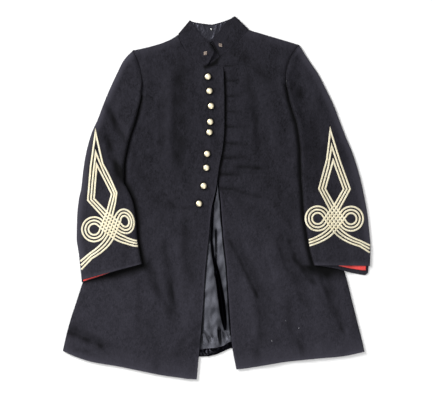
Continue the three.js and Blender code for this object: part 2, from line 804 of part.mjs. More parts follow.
function sleeveLayers(side) {
  const { fold, rows, cuffDrop, folds } = SLEEVE[side];
  const sign = side === 'right' ? -1 : 1;
  const lastRow = rows.length - 1;
  const at = (name, v) => between(rows, name, v);
  const innerAt = (v) => [at('innerX', v), at('innerY', v)];
  const outerAt = (v) => [at('outerX', v), at('outerY', v)];
  const capAt = (u) => {
    const [x, y] = armhole[side](fold * (1 - u));
    return [x + sign * CAP_GAP, y];
  };
  const plan = (u, v) => {
    const [x, y] = mix(innerAt(v), outerAt(v), u);
    const chord = mix(innerAt(0), outerAt(0), u);
    const cap = clamp(1 - v, 0, 1);
    return [x + (capAt(u)[0] - chord[0]) * cap, y + (capAt(u)[1] - chord[1]) * cap];
  };
  const underPlan = (u, v) => {
    const [x, y] = plan(u, v);
    const share = clamp(v - lastRow + 1, 0, 1);
    const [dx, dy] = ['x', 'y'].map((axis) => smoothLookUp(cuffDrop, 'share', axis, u));
    return [x + dx * share, y + dy * share];
  };
  const bodyLine = [
    ...Array.from({ length: 11 }, (_, k) => armhole[side](k / 10)),
    ...SIDE[side].slice(1).map(({ x, y }) => [x, y]),
  ];
  const foldY = armhole[side](fold)[1];
  const rise = (x, y) => {
    const outside = sign * (x - acrossAt(bodyLine, y));
    const over = ease((RISE_OUT - outside) / (RISE_OUT + RISE_IN));
    const past = ease((foldY + RISE_START - y) / (RISE_START - RISE_END));
    return SLEEVE_RISE * over * past;
  };
  const length = (v) => Math.hypot(...innerAt(v).map((value, k) => value - outerAt(v)[k]));
  const loft = (x, y, u, v) => {
    const border = Math.min(u, 1 - u) * length(v);
    const cap = Math.hypot(x - capAt(u)[0], y - capAt(u)[1]);
    const closed = roll(Math.min(border, cap));
    const open = CUFF_LOFT * ease((v - lastRow + 2) / 2);
    return Math.max(SLEEVE_LOFT * closed + foldHeight(folds, x, y) * closed, open);
  };
  const spans = rows.slice(1).map((row, k) =>
    Math.max(
      Math.hypot(row.innerX - rows[k].innerX, row.innerY - rows[k].innerY),
      Math.hypot(row.outerX - rows[k].outerX, row.outerY - rows[k].outerY),
    ),
  );
  const down = stations(spans, SLEEVE_STEP);
  const grid = { across: SLEEVE_ACROSS, down, thick: () => CLOTH };
  const under = draped({ ...grid, plan: underPlan, base: rise });
  const top = draped({
    ...grid,
    plan,
    base: (x, y, u, v) => rise(x, y) + CLOTH + SEAM + loft(x, y, u, v),
  });
  return { under, top };
}

// The red lining in the mouth of a cuff, made from the under sleeve's own points, moved out
const CUFF_ROWS = 3;
function cuffLining(under, liningIn) {
  const points = under.top.slice(-CUFF_ROWS).map((row) => row.slice(1, -1));
  const raised = (height) =>
    points.map((row, i) =>
      row.map(([x, y, z], j) => {
        if (i < CUFF_ROWS - 1) return [x, y, z + height];
        const inward = mix([x, y, z], points[i - 1][j], liningIn);
        return [inward[0], inward[1], inward[2] + height];
      }),
    );
  return wall(raised(SEAM + CUFF_LINING), raised(SEAM));
}

// ---------------------------------------------------------------- braid knots
// A three-row braid knot in its own frame: a pointed loop above a plaited diamond, a ring on
// each side of it and two tails. +Y runs up the sleeve.
const BRAID = {
  width: 4.8,
  thick: 1.2,
  gap: 0.75, // to the sleeve
  closeness: 0.45, // how closely it follows the sleeve
  pitch: 8.3, // of the bars in the diamond
  ringX: 43.5,
  ringR: 14.5,
  ringStep: 8.5,
  shoulderX: 24, // where the pointed loop turns into the diamond
  shoulderStep: 8.2,
  shoulderY: 77,
  inset: 2.6, // from the sleeve's folds
};
const STRANDS = [0, 1, 2];
const TAILS = table(['midX', 'midY', 'endX', 'endY'], [
  [68, -57, 97, -71],
  [68, -64, 97, -81],
  [68, -71.5, 97, -91],
]);

// Each knot's place and turn on its sleeve, and the three peaks of its pointed loop, inner first,
// with how far the loop's two legs are drawn in halfway up. Past squeezeFrom, where the sleeve
// curves away, it is narrower.
const PEAK_COLUMNS = ['x', 'y', 'inLeft', 'inRight'];
const KNOT = {
  right: {
    x: -276,
    y: -71,
    turn: 14.5,
    squeezeFrom: 28,
    squeeze: 0.74,
    peaks: table(PEAK_COLUMNS, [
      [5, 161, 0, 0],
      [10.5, 192, -1, 3],
      [22.8, 242.5, -2.5, 11],
    ]),
  },
  left: {
    x: 305,
    y: -54,
    turn: -0.5,
    squeezeFrom: 200,
    squeeze: 1,
    peaks: table(PEAK_COLUMNS, [
      [-4, 151, 0, 0],
      [-8, 188, 3, 1],
      [-12, 229, 6, 2],
    ]),
  },
};

// The outline of a strip along a path
function strip(path, width) {
  const side = (sign) =>
    path.map((point, k) => {
      const before = path[Math.max(k - 1, 0)];
      const after = path[Math.min(k + 1, path.length - 1)];
      const unit = (a, b) => {
        const length = Math.hypot(b[0] - a[0], b[1] - a[1]) || 1;
        return [(b[0] - a[0]) / length, (b[1] - a[1]) / length];
      };
      const [d0, d1] = [unit(before, point), unit(point, after)];
      const turn = k === 0 ? d1 : k === path.length - 1 ? d0 : [d0[0] + d1[0], d0[1] + d1[1]];
      const size = Math.hypot(...turn);
      const normal = [-turn[1] / size, turn[0] / size];
      const along = k === 0 ? d1 : d0;
      const cosine = Math.max(normal[0] * -along[1] + normal[1] * along[0], 0.2);
      const reach = (sign * width) / 2 / cosine;
      return [point[0] + normal[0] * reach, point[1] + normal[1] * reach];
    });
  return [...side(1), ...side(-1).reverse()];
}

// The paths of one knot's strands, in its own frame
function strandPaths(peaks) {
  const { pitch, ringX, ringR, ringStep, shoulderX, shoulderStep, shoulderY } = BRAID;
  const outermost = 2.5 * pitch;
  const crossing = (falling, rising) => [(falling - rising) / 1.6, (falling + rising) / 1.2];
  const arc = (radius, from, to, count) =>
    Array.from({ length: count + 1 }, (_, k) => {
      const angle = THREE.MathUtils.degToRad(lerp(from, to, k / count));
      return [ringX + radius * Math.cos(angle), radius * Math.sin(angle)];
    });
  const flipped = (path) => path.map(([x, y]) => [-x, y]);
  const paths = [];
  for (const j of STRANDS) {
    const corner = [shoulderX + shoulderStep * j, shoulderY];
    const peak = [peaks[j].x, peaks[j].y];
    const leg = (sign, inward) => {
      const [x, y] = mix([sign * corner[0], corner[1]], peak, 0.5);
      return [x - sign * inward, y];
    };
    const [left, right] = [leg(-1, peaks[j].inLeft), leg(1, peaks[j].inRight)];
    paths.push([[-corner[0], corner[1]], left, peak, right, corner]);
    const radius = ringR + ringStep * j;
    const upper = outermost - pitch * j;
    const over = [
      [-corner[0], corner[1]],
      crossing(upper, outermost),
      crossing(upper, -outermost),
      ...arc(radius, 214, 364, 5),
    ];
    const lower = -outermost + pitch * j;
    const tail = TAILS[2 - j];
    const leaves = crossing(lower, -outermost);
    const swing = bent(leaves, [leaves[0] + 20, leaves[1] - 24], [tail.midX, tail.midY]);
    const under = [
      ...flipped(arc(radius, -4, 146, 5)),
      crossing(lower, outermost),
      ...[0, 0.5, 1].map(swing),
      [tail.endX, tail.endY],
    ];
    for (const path of [over, under]) paths.push(path, flipped(path));
  }
  return paths;
}

function braidKnot(side, sleeve) {
  const knot = KNOT[side];
  const turn = THREE.MathUtils.degToRad(knot.turn);
  const placed = ([u, v]) => {
    const x = u - Math.max(0, u - knot.squeezeFrom) * (1 - knot.squeeze);
    return [
      knot.x + x * Math.cos(turn) - v * Math.sin(turn),
      knot.y + x * Math.sin(turn) + v * Math.cos(turn),
    ];
  };
  const strips = strandPaths(knot.peaks).map((path) => strip(path.map(placed), BRAID.width));
  const strands = strips.map((outline) => solid(plate(outline, BRAID.thick)));
  const woven = wasm.Manifold.union(strands);
  const inset = (row, first, second) => {
    const [a, b] = [row.at(first), row.at(second)];
    const length = Math.hypot(b[0] - a[0], b[1] - a[1]);
    return mix(a, b, BRAID.inset / length).slice(0, 2);
  };
  const rows = sleeve.top;
  const border = [
    ...rows.map((row) => inset(row, 0, -1)),
    ...[...rows].reverse().map((row) => inset(row, -1, 0)),
  ];
  const within = solid(plate(border, 4, -1));
  return solidLaidOn(sleeve.top, woven.intersect(within), BRAID.gap, BRAID.closeness);
}

// ---------------------------------------------------------------- buttons and small trim
const BUTTON_PLACES = table(['x', 'y'], [
  [-23, 314],
  [-19, 277],
  [-15, 238],
  [-17, 197],
  [-19, 170],
  [-25, 114],
  [-27, 78],
  [-34, 31],
  [-46, -15],
]);
const BUTTON_PROFILE = [
  [0, 0],
  [2.6, 0],
  [2.6, 1],
  [6.8, 1.8],
  [8, 4],
  [6.2, 6.6],
  [0, 8],
];

const BUTTON_SIDES = 11;

function button() {
  const profile = BUTTON_PROFILE.map((point) => new THREE.Vector2(...point));
  return new THREE.LatheGeometry(profile, BUTTON_SIDES).rotateX(Math.PI / 2);
}

// A button's seat: just above the highest point of the front under its shank
function seatOn(top, x, y, radius) {
  const around = Array.from({ length: 8 }, (_, k) => (k * Math.PI) / 4);
  const heights = around.map((angle) =>
    heightOn(top, x + radius * Math.cos(angle), y + radius * Math.sin(angle)),
  );
  return Math.max(...heights, heightOn(top, x, y)) + SEAM;
}

const PIN_THICK = 1.2;
const PIN_CLOSENESS = 0.12;
const PINS = {
  right: { x: -29.5, y: 375, width: 10, height: 13, turn: -38 },
  left: { x: 9.5, y: 396, width: 10, height: 12.5, turn: 40 },
};

// A plain lozenge pinned to a collar end
function collarPin({ x, y, width, height, turn }, top) {
  const angle = THREE.MathUtils.degToRad(turn);
  const [wide, high] = [width / 2, height / 2];
  const corners = [[wide, 0], [0, high], [-wide, 0], [0, -high]];
  const outline = corners.map(([a, b]) => [
    x + a * Math.cos(angle) - b * Math.sin(angle),
    y + a * Math.sin(angle) + b * Math.cos(angle),
  ]);
  return solidLaidOn(top, solid(plate(outline, PIN_THICK)), SEAM, PIN_CLOSENESS);
}

// The small metal stud in a worked eyelet at the centre back of the collar
const EYELET = { x: -14, y: 438, outer: 4.2, stud: 1.8, thick: 0.8, high: 1.5 };
function collarEyelet() {
  const { outer, stud, thick, high } = EYELET;
  const ring = [[0, 0], [outer, 0], [outer - thick, thick], [stud, thick]];
  const profile = [...ring, [stud * 0.7, high], [0, high]];
  const points = profile.map((point) => new THREE.Vector2(...point));
  return new THREE.LatheGeometry(points, 14).rotateX(Math.PI / 2);
}

// ---------------------------------------------------------------- materials
const finish = (color, roughness, metalness = 0) =>
  new THREE.MeshStandardMaterial({ color, roughness, metalness });
const wool = finish(0x20212c, 0.95);
const satin = finish(0x50545e, 0.4);
const glossyBlack = finish(0x2c2e36, 0.3);
const redLining = finish(0xb3262a, 0.5);
const goldBraid = finish(0xd9bd7c, 0.5, 0.4);
const brass = finish(0xe2cd8a, 0.25, 1);
const nickel = finish(0xd8d8d4, 0.3, 1);

// ---------------------------------------------------------------- assembly
const tunic = new THREE.Group();
function add(name, geometry, material) {
  const mesh = new THREE.Mesh(geometry, material);
  mesh.name = name;
  tunic.add(mesh);
  return mesh;
}

add('back', backPanel(), wool);
add('back_lining', backLining().geometry, satin);
add('back_hem_facing', backHemFacing().geometry, glossyBlack);

for (const side of ['right', 'left']) {
  const front = frontPanel(side);
  add(`front_${side}`, front.geometry, wool);
  if (side === 'right') {
    BUTTON_PLACES.forEach(({ x, y }, k) => {
      const mesh = add(`button_${k + 1}`, button(), brass);
      mesh.position.set(x, y, seatOn(front.top, x, y, BUTTON_PROFILE[1][0]));
    });
  }

  const collar = collarHalf(side);
  add(`collar_${side}`, collar.geometry, wool);
  const shown = collar.top.slice(COLLAR_SHOWN);
  add(`collar_pin_${side}`, collarPin(PINS[side], shown), brass);

  const sleeve = sleeveLayers(side);
  add(`under_sleeve_${side}`, sleeve.under.geometry, wool);
  add(`top_sleeve_${side}`, sleeve.top.geometry, wool);
  add(`cuff_lining_${side}`, cuffLining(sleeve.under, SLEEVE[side].liningIn), redLining);
  add(`braid_${side}`, braidKnot(side, sleeve.top), goldBraid);
}

const lining = collarLining();
add('collar_lining', lining.geometry, glossyBlack);
const eyelet = add('collar_eyelet', collarEyelet(), nickel);
eyelet.position.set(EYELET.x, EYELET.y, seatOn(lining.top, EYELET.x, EYELET.y, EYELET.outer));

export default tunic;
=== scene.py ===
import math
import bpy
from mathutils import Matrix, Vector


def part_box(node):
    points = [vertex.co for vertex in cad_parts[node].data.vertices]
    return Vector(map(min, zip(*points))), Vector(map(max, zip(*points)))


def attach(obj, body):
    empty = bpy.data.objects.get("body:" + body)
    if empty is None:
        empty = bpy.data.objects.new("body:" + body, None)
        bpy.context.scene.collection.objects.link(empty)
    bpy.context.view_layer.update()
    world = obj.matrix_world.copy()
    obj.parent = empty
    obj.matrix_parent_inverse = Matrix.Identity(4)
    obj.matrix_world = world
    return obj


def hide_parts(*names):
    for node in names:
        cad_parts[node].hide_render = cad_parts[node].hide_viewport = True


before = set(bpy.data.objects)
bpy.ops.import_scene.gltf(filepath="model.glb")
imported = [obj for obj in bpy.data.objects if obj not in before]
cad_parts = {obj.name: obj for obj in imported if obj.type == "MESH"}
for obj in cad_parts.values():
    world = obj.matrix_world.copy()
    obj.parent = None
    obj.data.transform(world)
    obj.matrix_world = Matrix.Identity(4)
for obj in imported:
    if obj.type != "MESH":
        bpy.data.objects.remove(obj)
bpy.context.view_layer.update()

# A military tunic laid flat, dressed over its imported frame. Shapes are worked out in millimetres
# in the frame's own axes (+Y from the hem to the collar, -X the wearer's right) and turned into
# metres when a mesh is made.

from types import SimpleNamespace

import bpy
import numpy as np
from mathutils import Vector
from mathutils.bvhtree import BVHTree

MM = 0.001

# ---------------------------------------------------------------- driving sizes
SEAM = 0.3  # gap between pieces that are sewn or lie together
CLOTH = 2.5
LINING = 1.0
CUFF_LINING = 0.6
LAYER_1 = CLOTH + SEAM  # underside of what lies on the back
BODY_LOFT = 3.2  # how far the fronts stand off the back, and at their edges and hem
EDGE_LOFT = 1.6
HEM_LOFT = 1.2
CHEST_PADDING = 3.0
SLEEVE_LOFT = 3.0  # how far a sleeve's two layers stand apart, and at the cuff
CUFF_LOFT = 1.3
ROLL = 16.0  # width over which a wall rolls down to its seam
SEAM_HEIGHT = 0.15  # share of its loft that a wall keeps at an armhole
SEAM_ROLL = 9.0  # width over which a wall rolls down to an armhole or a sleeve's inner fold
PUFF = 1.8  # how far the cloth stands up on both sides of them
LAP_GAP = 0.8
SLEEVE_RISE = 10.2  # how high a sleeve lies where it is on its front
RISE_OUT = 34.0  # from how far outside the body, and to how far inside it, it comes up
RISE_IN = 17.0

EDGE_STEPS = np.array([0, 0.25, 0.7, 1.3, 2.0, 2.7, 4.2])  # rows of points beside every edge
BLUNT = 0.86  # share of its radius at which a rounded edge ends

# ---------------------------------------------------------------- painted shade and light on the wool
FULL_SHADE_DEPTH = 2.4  # depth of a fold in which the most shade is painted
FOLD_SHADE_SHARE = 0.55  # how dark painted shade makes such a fold, and how pale painted light makes such a ridge
RIDGE_LIGHT_SHARE = 0.3
MARK_WIDTH = 1.25  # width of a fold's painted shade, and of a ridge's painted light, over the fold's own
MARK_TAIL = 2.6  # how much longer than wide a mark's ends are
MARK_MOST = 1.5  # how much more than in that fold it may be in a deeper one
MARK_EVEN, MARK_UNEVEN = 0.85, 0.3

# Where the collar's ends and the fronts press on one another, with shade painted in the hollow between
# them, and how far from there the painted shade reaches
THROAT = [(-14, 400), (-4, 384), (3, 366), (-1, 353), (-14, 345), (-29, 340)]
THROAT_WIDTH = 8


# ---------------------------------------------------------------- small functions
def ease(x):
    x = np.clip(x, 0, 1)
    return x * x * (3 - 2 * x)


def roll(distance, width=ROLL):
    return 1 - (1 - np.clip(distance / width, 0, 1)) ** 2


def hump(distance, width):
    return np.exp(-((distance / width) ** 2))


def near(distance, reach, share=1.0):
    """A share that is whole at no distance and fades to nothing at the end of its reach."""
    return share * ease(1 - distance / reach)


def lerp(a, b, t):
    return a + (b - a) * t


def table(columns, rows):
    return {name: np.array([row[k] for row in rows], float) for k, name in enumerate(columns)}


def bent(start, control, end):
    """A curve bent once, between two ends, as x and y."""
    a, b, c = (np.array(p, float) for p in (start, control, end))

    def at(t):
        t = np.clip(np.asarray(t, float), 0, 1)[..., None]
        return lerp(lerp(a, b, t), lerp(b, c, t), t)

    return at


def between(values, place):
    """A smooth value between the entries of a column, which never overshoots them."""
    values = np.asarray(values, float)
    place = np.asarray(place, float)
    step = np.diff(values)
    product = step[:-1] * step[1:]
    total = np.where(product > 0, step[:-1] + step[1:], 1)
    inner = np.where(product > 0, 2 * product / total, 0)
    slope = np.concatenate([step[:1], inner, step[-1:]])
    k = np.clip(np.floor(place).astype(int), 0, len(step) - 1)
    t = np.clip(place - k, 0, 1)
    rise = step[k] * t * t * (3 - 2 * t)
    return values[k] + slope[k] * t * (1 - t) ** 2 + rise + slope[k + 1] * t * t * (t - 1)


def look_up(rows, known, wanted, place):
    """A column's value at a place in another column, on a smooth curve through the rows."""
    return between(rows[wanted], np.interp(place, rows[known], np.arange(len(rows[known]))))


def line_of(points, first=0, axes=("x", "y")):
    return np.stack([points[axis] for axis in axes], axis=1)[first:]


def along_run(x, y, start, end):
    """How far along a straight run a place is, as a share of it from 0 to 1."""
    run = (end[0] - start[0], end[1] - start[1])
    along = ((x - start[0]) * run[0] + (y - start[1]) * run[1]) / (run[0] ** 2 + run[1] ** 2)
    return np.clip(along, 0, 1)


def off_run(x, y, start, end):
    """How far a place is from a straight run."""
    t = along_run(x, y, start, end)
    return np.hypot(x - lerp(start[0], end[0], t), y - lerp(start[1], end[1], t))


def off_line(x, y, line):
    """How far a place is from a line of points."""
    return np.minimum.reduce([off_run(x, y, start, end) for start, end in zip(line, line[1:])])


def turned_by(x, y, degrees):
    angle = math.radians(degrees)
    return x * math.cos(angle) - y * math.sin(angle), x * math.sin(angle) + y * math.cos(angle)


def across_at(points, y):
    """The x of a line of points at height y, from points that run down in y."""
    line = np.array(points, float)[::-1]
    return np.interp(y, line[:, 1], line[:, 0])


def fold_height(folds, x, y):
    """The height that rows of soft folds add: a ridge each, or a trough if its height is below 0."""
    height = np.zeros(np.broadcast(x, y).shape)
    for x0, y0, x1, y1, width, rise in folds:
        height += rise * hump(off_run(x, y, (x0, y0), (x1, y1)), width)
    return height


def fold_marks(folds, x, y):
    """How deep in a trough and how high on a ridge a place is, from 0 to 1, with long soft ends."""
    marks = np.zeros((2, *np.broadcast(x, y).shape))
    for x0, y0, x1, y1, width, rise in folds:
        length = math.hypot(x1 - x0, y1 - y0)
        way = ((x1 - x0) / length, (y1 - y0) / length)
        along = (x - x0) * way[0] + (y - y0) * way[1]
        beyond = (along - np.clip(along, 0, length)) / MARK_TAIL
        across = (x - x0) * way[1] - (y - y0) * way[0]
        mark = hump(np.hypot(across, beyond), MARK_WIDTH * width)
        mark *= min(MARK_MOST, abs(rise) / FULL_SHADE_DEPTH)
        layer = marks[0 if rise < 0 else 1]
        np.maximum(layer, mark, out=layer)
    return marks * (MARK_EVEN + MARK_UNEVEN * ripple(x, y, 61, 34))


def painted_shading_of(marks, painted_dark, painted_pale):
    """Painted shade and light: how dark a place is painted in troughs and by other shade, and how pale
    on ridges and by other light, with any uneven patches of tone.
    """
    dark = np.clip(marks[0] * FOLD_SHADE_SHARE + painted_dark, 0, 1)
    pale = np.clip(marks[1] * RIDGE_LIGHT_SHARE + painted_pale, 0, 1)
    return np.dstack([dark, pale * (1 - dark)])


def ripple(x, y, seed, size, waves=8):
    """Gentle unevenness of about 1 in height, with bumps about size apart."""
    rng = np.random.default_rng(seed)
    total = np.zeros(np.broadcast(x, y).shape)
    for _ in range(waves):
        angle, phase = rng.uniform(0, 2 * math.pi, 2)
        length = size * rng.uniform(0.75, 1.6)
        total += np.sin((x * math.cos(angle) + y * math.sin(angle)) * 2 * math.pi / length + phase)
    return total / math.sqrt(waves)


def stations(lengths, step):
    """Places of a grid's rows: each interval in equal parts of about step, close at both ends."""
    places = [0.0]
    for k, length in enumerate(lengths):
        parts = max(math.ceil(length / step), 1)
        places += [k + part / parts for part in range(1, parts + 1)]
    places = np.array(places)
    first = EDGE_STEPS / lengths[0]
    last = len(lengths) - EDGE_STEPS[::-1] / lengths[-1]
    middle = places[(places > first[-1] + 0.02) & (places < last[0] - 0.02)]
    return np.concatenate([first, middle, last])


def columns(widths, count):
    """Shares across each row: close together beside both edges and even between them."""
    first = EDGE_STEPS / widths[:, None]
    last = 1 - EDGE_STEPS[::-1] / widths[:, None]
    inner = np.linspace(0, 1, count)[1:-1]
    return np.concatenate([first, lerp(first[:, -1:], last[:, :1], inner), last], axis=1)


def grid_between(first_at, second_at, last_row, step, count):
    """The u and v of a grid between two lines that run down its rows, the width of each row, and
    how long the second line's last row is."""
    rows = np.arange(last_row + 1.0)
    steps = [np.linalg.norm(np.diff(at(rows), axis=0), axis=1) for at in (first_at, second_at)]
    down = stations(np.maximum(*steps), step)
    widths = np.linalg.norm(first_at(down) - second_at(down), axis=1)
    u = columns(widths, count)
    return u, np.repeat(down[:, None], u.shape[1], axis=1), widths[:, None], steps[1][-1]


def rounded(distance, radius):
    """How far a face falls over a round of some radius towards an edge."""
    inward = np.clip(1 - distance / radius, 0, 1)
    return radius * np.minimum(1 - np.sqrt(1 - inward**2), BLUNT)


def free_edge(distance, thick=CLOTH):
    """How far the faces of a wall of cloth draw together towards a free, rounded edge."""
    return rounded(distance, thick / 2)


def seam_edge(distance, thick=CLOTH):
    """How far one face of a wall turns towards the piece that it is sewn to."""
    return rounded(distance, thick)


# ---------------------------------------------------------------- meshes
def grid_faces(rows, cols, start=0):
    corner = (np.arange(rows - 1)[:, None] * cols + np.arange(cols - 1)[None]).ravel() + start
    return np.stack([corner, corner + 1, corner + cols + 1, corner + cols], axis=1)


def closed_wall(top, bottom):
    """A closed mesh between two grids of points."""
    rows, cols = top.shape[:2]
    count = rows * cols
    points = np.concatenate([top.reshape(-1, 3), bottom.reshape(-1, 3)])
    upper = grid_faces(rows, cols)
    lower = grid_faces(rows, cols, count)[:, ::-1]
    index = np.arange(count).reshape(rows, cols)
    rim = np.concatenate([index[0, :-1], index[:-1, -1], index[-1, :0:-1], index[:0:-1, 0]])
    after = np.roll(rim, -1)
    side = np.stack([after, rim, rim + count, after + count], axis=1)
    faces = np.concatenate([upper, lower, side])
    a, b, c, d = (points[faces[:, k]] for k in range(4))
    volume = np.sum(a * np.cross(b, c)) + np.sum(a * np.cross(c, d))
    return points, faces if volume > 0 else faces[:, ::-1]


def make(name, points, faces, material, slot, replaces=(), lay=None):
    """A smooth mesh piece from points in millimetres, riding on the root body. Its lay is two
    values at each point, kept as a UV layer for its material."""
    mesh = bpy.data.meshes.new(name)
    faces = [tuple(int(k) for k in face) for face in faces]
    mesh.from_pydata([tuple(p) for p in np.asarray(points) * MM], [], faces)
    mesh.polygons.foreach_set("use_smooth", [True] * len(mesh.polygons))
    if lay is not None:
        layer = mesh.uv_layers.new(name="lay")
        corners = np.zeros(len(mesh.loops), int)
        mesh.loops.foreach_get("vertex_index", corners)
        layer.data.foreach_set("uv", np.asarray(lay, np.float32)[corners].ravel())
    mesh.materials.append(material)
    mesh.update()
    piece = bpy.data.objects.new(name, mesh)
    bpy.context.scene.collection.objects.link(piece)
    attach(piece, "root")
    if replaces:
        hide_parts(*replaces)
    return piece


def join(parts):
    """Several (points, faces) as one."""
    points, faces, start = [], [], 0
    for part_points, part_faces in parts:
        points.append(np.asarray(part_points, float))
        faces += [[k + start for k in face] for face in part_faces]
        start += len(part_points)
    return np.concatenate(points), faces


def ring_faces(count, sides):
    """The faces between rings of points that follow one another."""
    faces = []
    for i in range(count - 1):
        for j in range(sides):
            a, b = i * sides + j, i * sides + (j + 1) % sides
            faces.append([a, b, b + sides, a + sides])
    return faces


def tube_faces(count, sides):
    """The faces of a tube of rings, closed at both ends."""
    last = (count - 1) * sides
    caps = [list(range(sides))[::-1], list(range(last, last + sides))]
    return ring_faces(count, sides) + caps


def outward_faces(points, faces):
    """The faces, turned over if their volume is negative."""
    volume = 0.0
    for face in faces:
        a = points[face[0]]
        for k in range(1, len(face) - 1):
            volume += float(a @ np.cross(points[face[k]], points[face[k + 1]]))
    return faces if volume > 0 else [face[::-1] for face in faces]


HIGH_ABOVE = 200


class Surface:
    """The top of a piece of cloth, to lay smaller things on."""

    def __init__(self, top):
        rows, cols = top.shape[:2]
        faces = [tuple(int(k) for k in face) for face in grid_faces(rows, cols)]
        self.tree = BVHTree.FromPolygons([tuple(p) for p in top.reshape(-1, 3)], faces)

    def height(self, x, y):
        """Height of the cloth at a place, or None beside it."""
        place = self.tree.ray_cast(Vector((x, y, HIGH_ABOVE)), Vector((0, 0, -1)))[0]
        return None if place is None else place.z


# ---------------------------------------------------------------- materials
def nodes_of(name, color, roughness, **sockets):
    """A new Principled material, with the values that are the same all over on its sockets."""
    material = bpy.data.materials.new(name)
    material.use_nodes = True
    shader = material.node_tree.nodes["Principled BSDF"]
    shader.inputs["Base Color"].default_value = (*color, 1)
    shader.inputs["Roughness"].default_value = roughness
    for socket, value in sockets.items():
        shader.inputs[socket.replace("_", " ")].default_value = value
    return material, material.node_tree, shader


def node(tree, kind, inputs=(), **settings):
    """A new node with values or links on its inputs."""
    made = tree.nodes.new(kind)
    for key, value in settings.items():
        setattr(made, key, value)
    for socket, value in dict(inputs).items():
        if isinstance(value, bpy.types.NodeSocket):
            tree.links.new(value, made.inputs[socket])
        else:
            made.inputs[socket].default_value = value
    return made


def noise(tree, scale, detail=2.0, distortion=0.0, stretch=(1, 1, 1)):
    """Noise over the piece's own metres, scale bumps to the metre."""
    place = node(tree, "ShaderNodeTexCoord").outputs["Object"]
    place = node(tree, "ShaderNodeMapping", {"Vector": place, "Scale": stretch}).outputs[0]
    inputs = {"Vector": place, "Scale": scale, "Detail": detail, "Distortion": distortion}
    return node(tree, "ShaderNodeTexNoise", inputs).outputs["Fac"]


def math_node(tree, operation, a, b=0.0):
    return node(tree, "ShaderNodeMath", {0: a, 1: b}, operation=operation).outputs[0]


def spread(tree, value, low, high, to_low=0.0, to_high=1.0):
    """value from low to high, as to_low to to_high."""
    inputs = {"Value": value, 1: low, 2: high, 3: to_low, 4: to_high}
    return node(tree, "ShaderNodeMapRange", inputs).outputs[0]


def blend(tree, share, a, b):
    mixed = node(tree, "ShaderNodeMix", {0: share}, data_type="RGBA")
    for socket, value in ((6, a), (7, b)):
        if isinstance(value, bpy.types.NodeSocket):
            tree.links.new(value, mixed.inputs[socket])
        else:
            mixed.inputs[socket].default_value = (*value, 1)
    return mixed.outputs[2]


def bump(tree, shader, height, distance, strength=1.0):
    inputs = {"Height": height, "Distance": distance, "Strength": strength}
    made = node(tree, "ShaderNodeBump", inputs)
    tree.links.new(made.outputs[0], shader.inputs["Normal"])


def color_by(tree, shader, color):
    tree.links.new(color, shader.inputs["Base Color"])


def parts_of(tree, vector):
    """The x and y of a vector."""
    return node(tree, "ShaderNodeSeparateXYZ", {0: vector}).outputs[:2]


def lay_of(tree):
    """The two values that a piece carries at each point: see painted_shading_of for painted shade and
    light, and braid_knot.
    """
    return parts_of(tree, node(tree, "ShaderNodeUVMap", uv_map="lay").outputs[0])


def wool_material():
    """Fulled melton: near-black navy, felted so that no weave shows, with a short uneven nap.

    It is worn in patches, painted paler towards the hem as light, and painted dark as shade and pale
    as light where the piece's lay says so."""
    material, tree, shader = nodes_of(
        "wool_melton", (0.011, 0.0106, 0.0142), 0.92,
        Specular_IOR_Level=0.14, Sheen_Weight=0.1, Sheen_Roughness=0.45,
        Sheen_Tint=(0.66, 0.64, 0.78, 1),
    )
    clumps = noise(tree, 260, 4, 1.4, (1, 0.5, 1))
    clumped = spread(tree, clumps, 0.34, 0.66)
    fibres = blend(tree, clumped, (0.0035, 0.0033, 0.005), (0.018, 0.0173, 0.0235))
    wear_and_light = spread(tree, noise(tree, 32, 5, 0.8, (1, 0.6, 1)), 0.35, 0.7, 0, 0.45)
    worn = blend(tree, wear_and_light, fibres, (0.0215, 0.0205, 0.028))
    # Painted light: a paler tone towards the hem, from a height of 0.12 m down to -0.24 m.
    skirt_light_tone = blend(tree, clumped, (0.018, 0.0171, 0.023), (0.036, 0.0343, 0.0459))
    y = parts_of(tree, node(tree, "ShaderNodeTexCoord").outputs["Object"])[1]
    lighter_to_hem = blend(tree, spread(tree, y, 0.12, -0.24, 0.0, 0.62), worn, skirt_light_tone)
    # Painted shade and light from the piece's lay: near-black where shade is painted, paler where
    # light is painted.
    dark, pale = lay_of(tree)
    painted_pale = blend(tree, pale, lighter_to_hem, (0.05, 0.0478, 0.063))
    color_by(tree, shader, blend(tree, dark, painted_pale, (0.0004, 0.0004, 0.0006)))
    height = math_node(tree, "ADD", noise(tree, 1300, 3), math_node(tree, "MULTIPLY", clumps, 1.6))
    bump(tree, shader, height, 0.0005, 0.7)
    return material


def satin_material(name, dark, light, roughness, lustre, ribs, crumple=0.0):
    """A warp-faced satin of fine lengthwise threads, painted dark as shade where the piece's lay says
    that no light comes. With a lustre of 1 it throws light back as metal does, in its own colour."""
    material, tree, shader = nodes_of(
        name, light, roughness, Metallic=lustre, Specular_IOR_Level=0.4
    )
    threads = noise(tree, ribs, 2, 0.0, (1, 0.05, 1))
    shade = blend(tree, spread(tree, noise(tree, 26, 3, 0.8), 0.3, 0.7), dark, light)
    color_by(tree, shader, blend(tree, lay_of(tree)[0], shade, (0.002, 0.002, 0.003)))
    gloss = spread(tree, threads, 0.3, 0.7, roughness - 0.05, roughness + 0.07)
    tree.links.new(gloss, shader.inputs["Roughness"])
    height = threads
    if crumple:
        creases = noise(tree, 120, 3, 1.8)
        height = math_node(tree, "ADD", threads, math_node(tree, "MULTIPLY", creases, crumple))
    bump(tree, shader, height, 0.0004, 0.5)
    return material


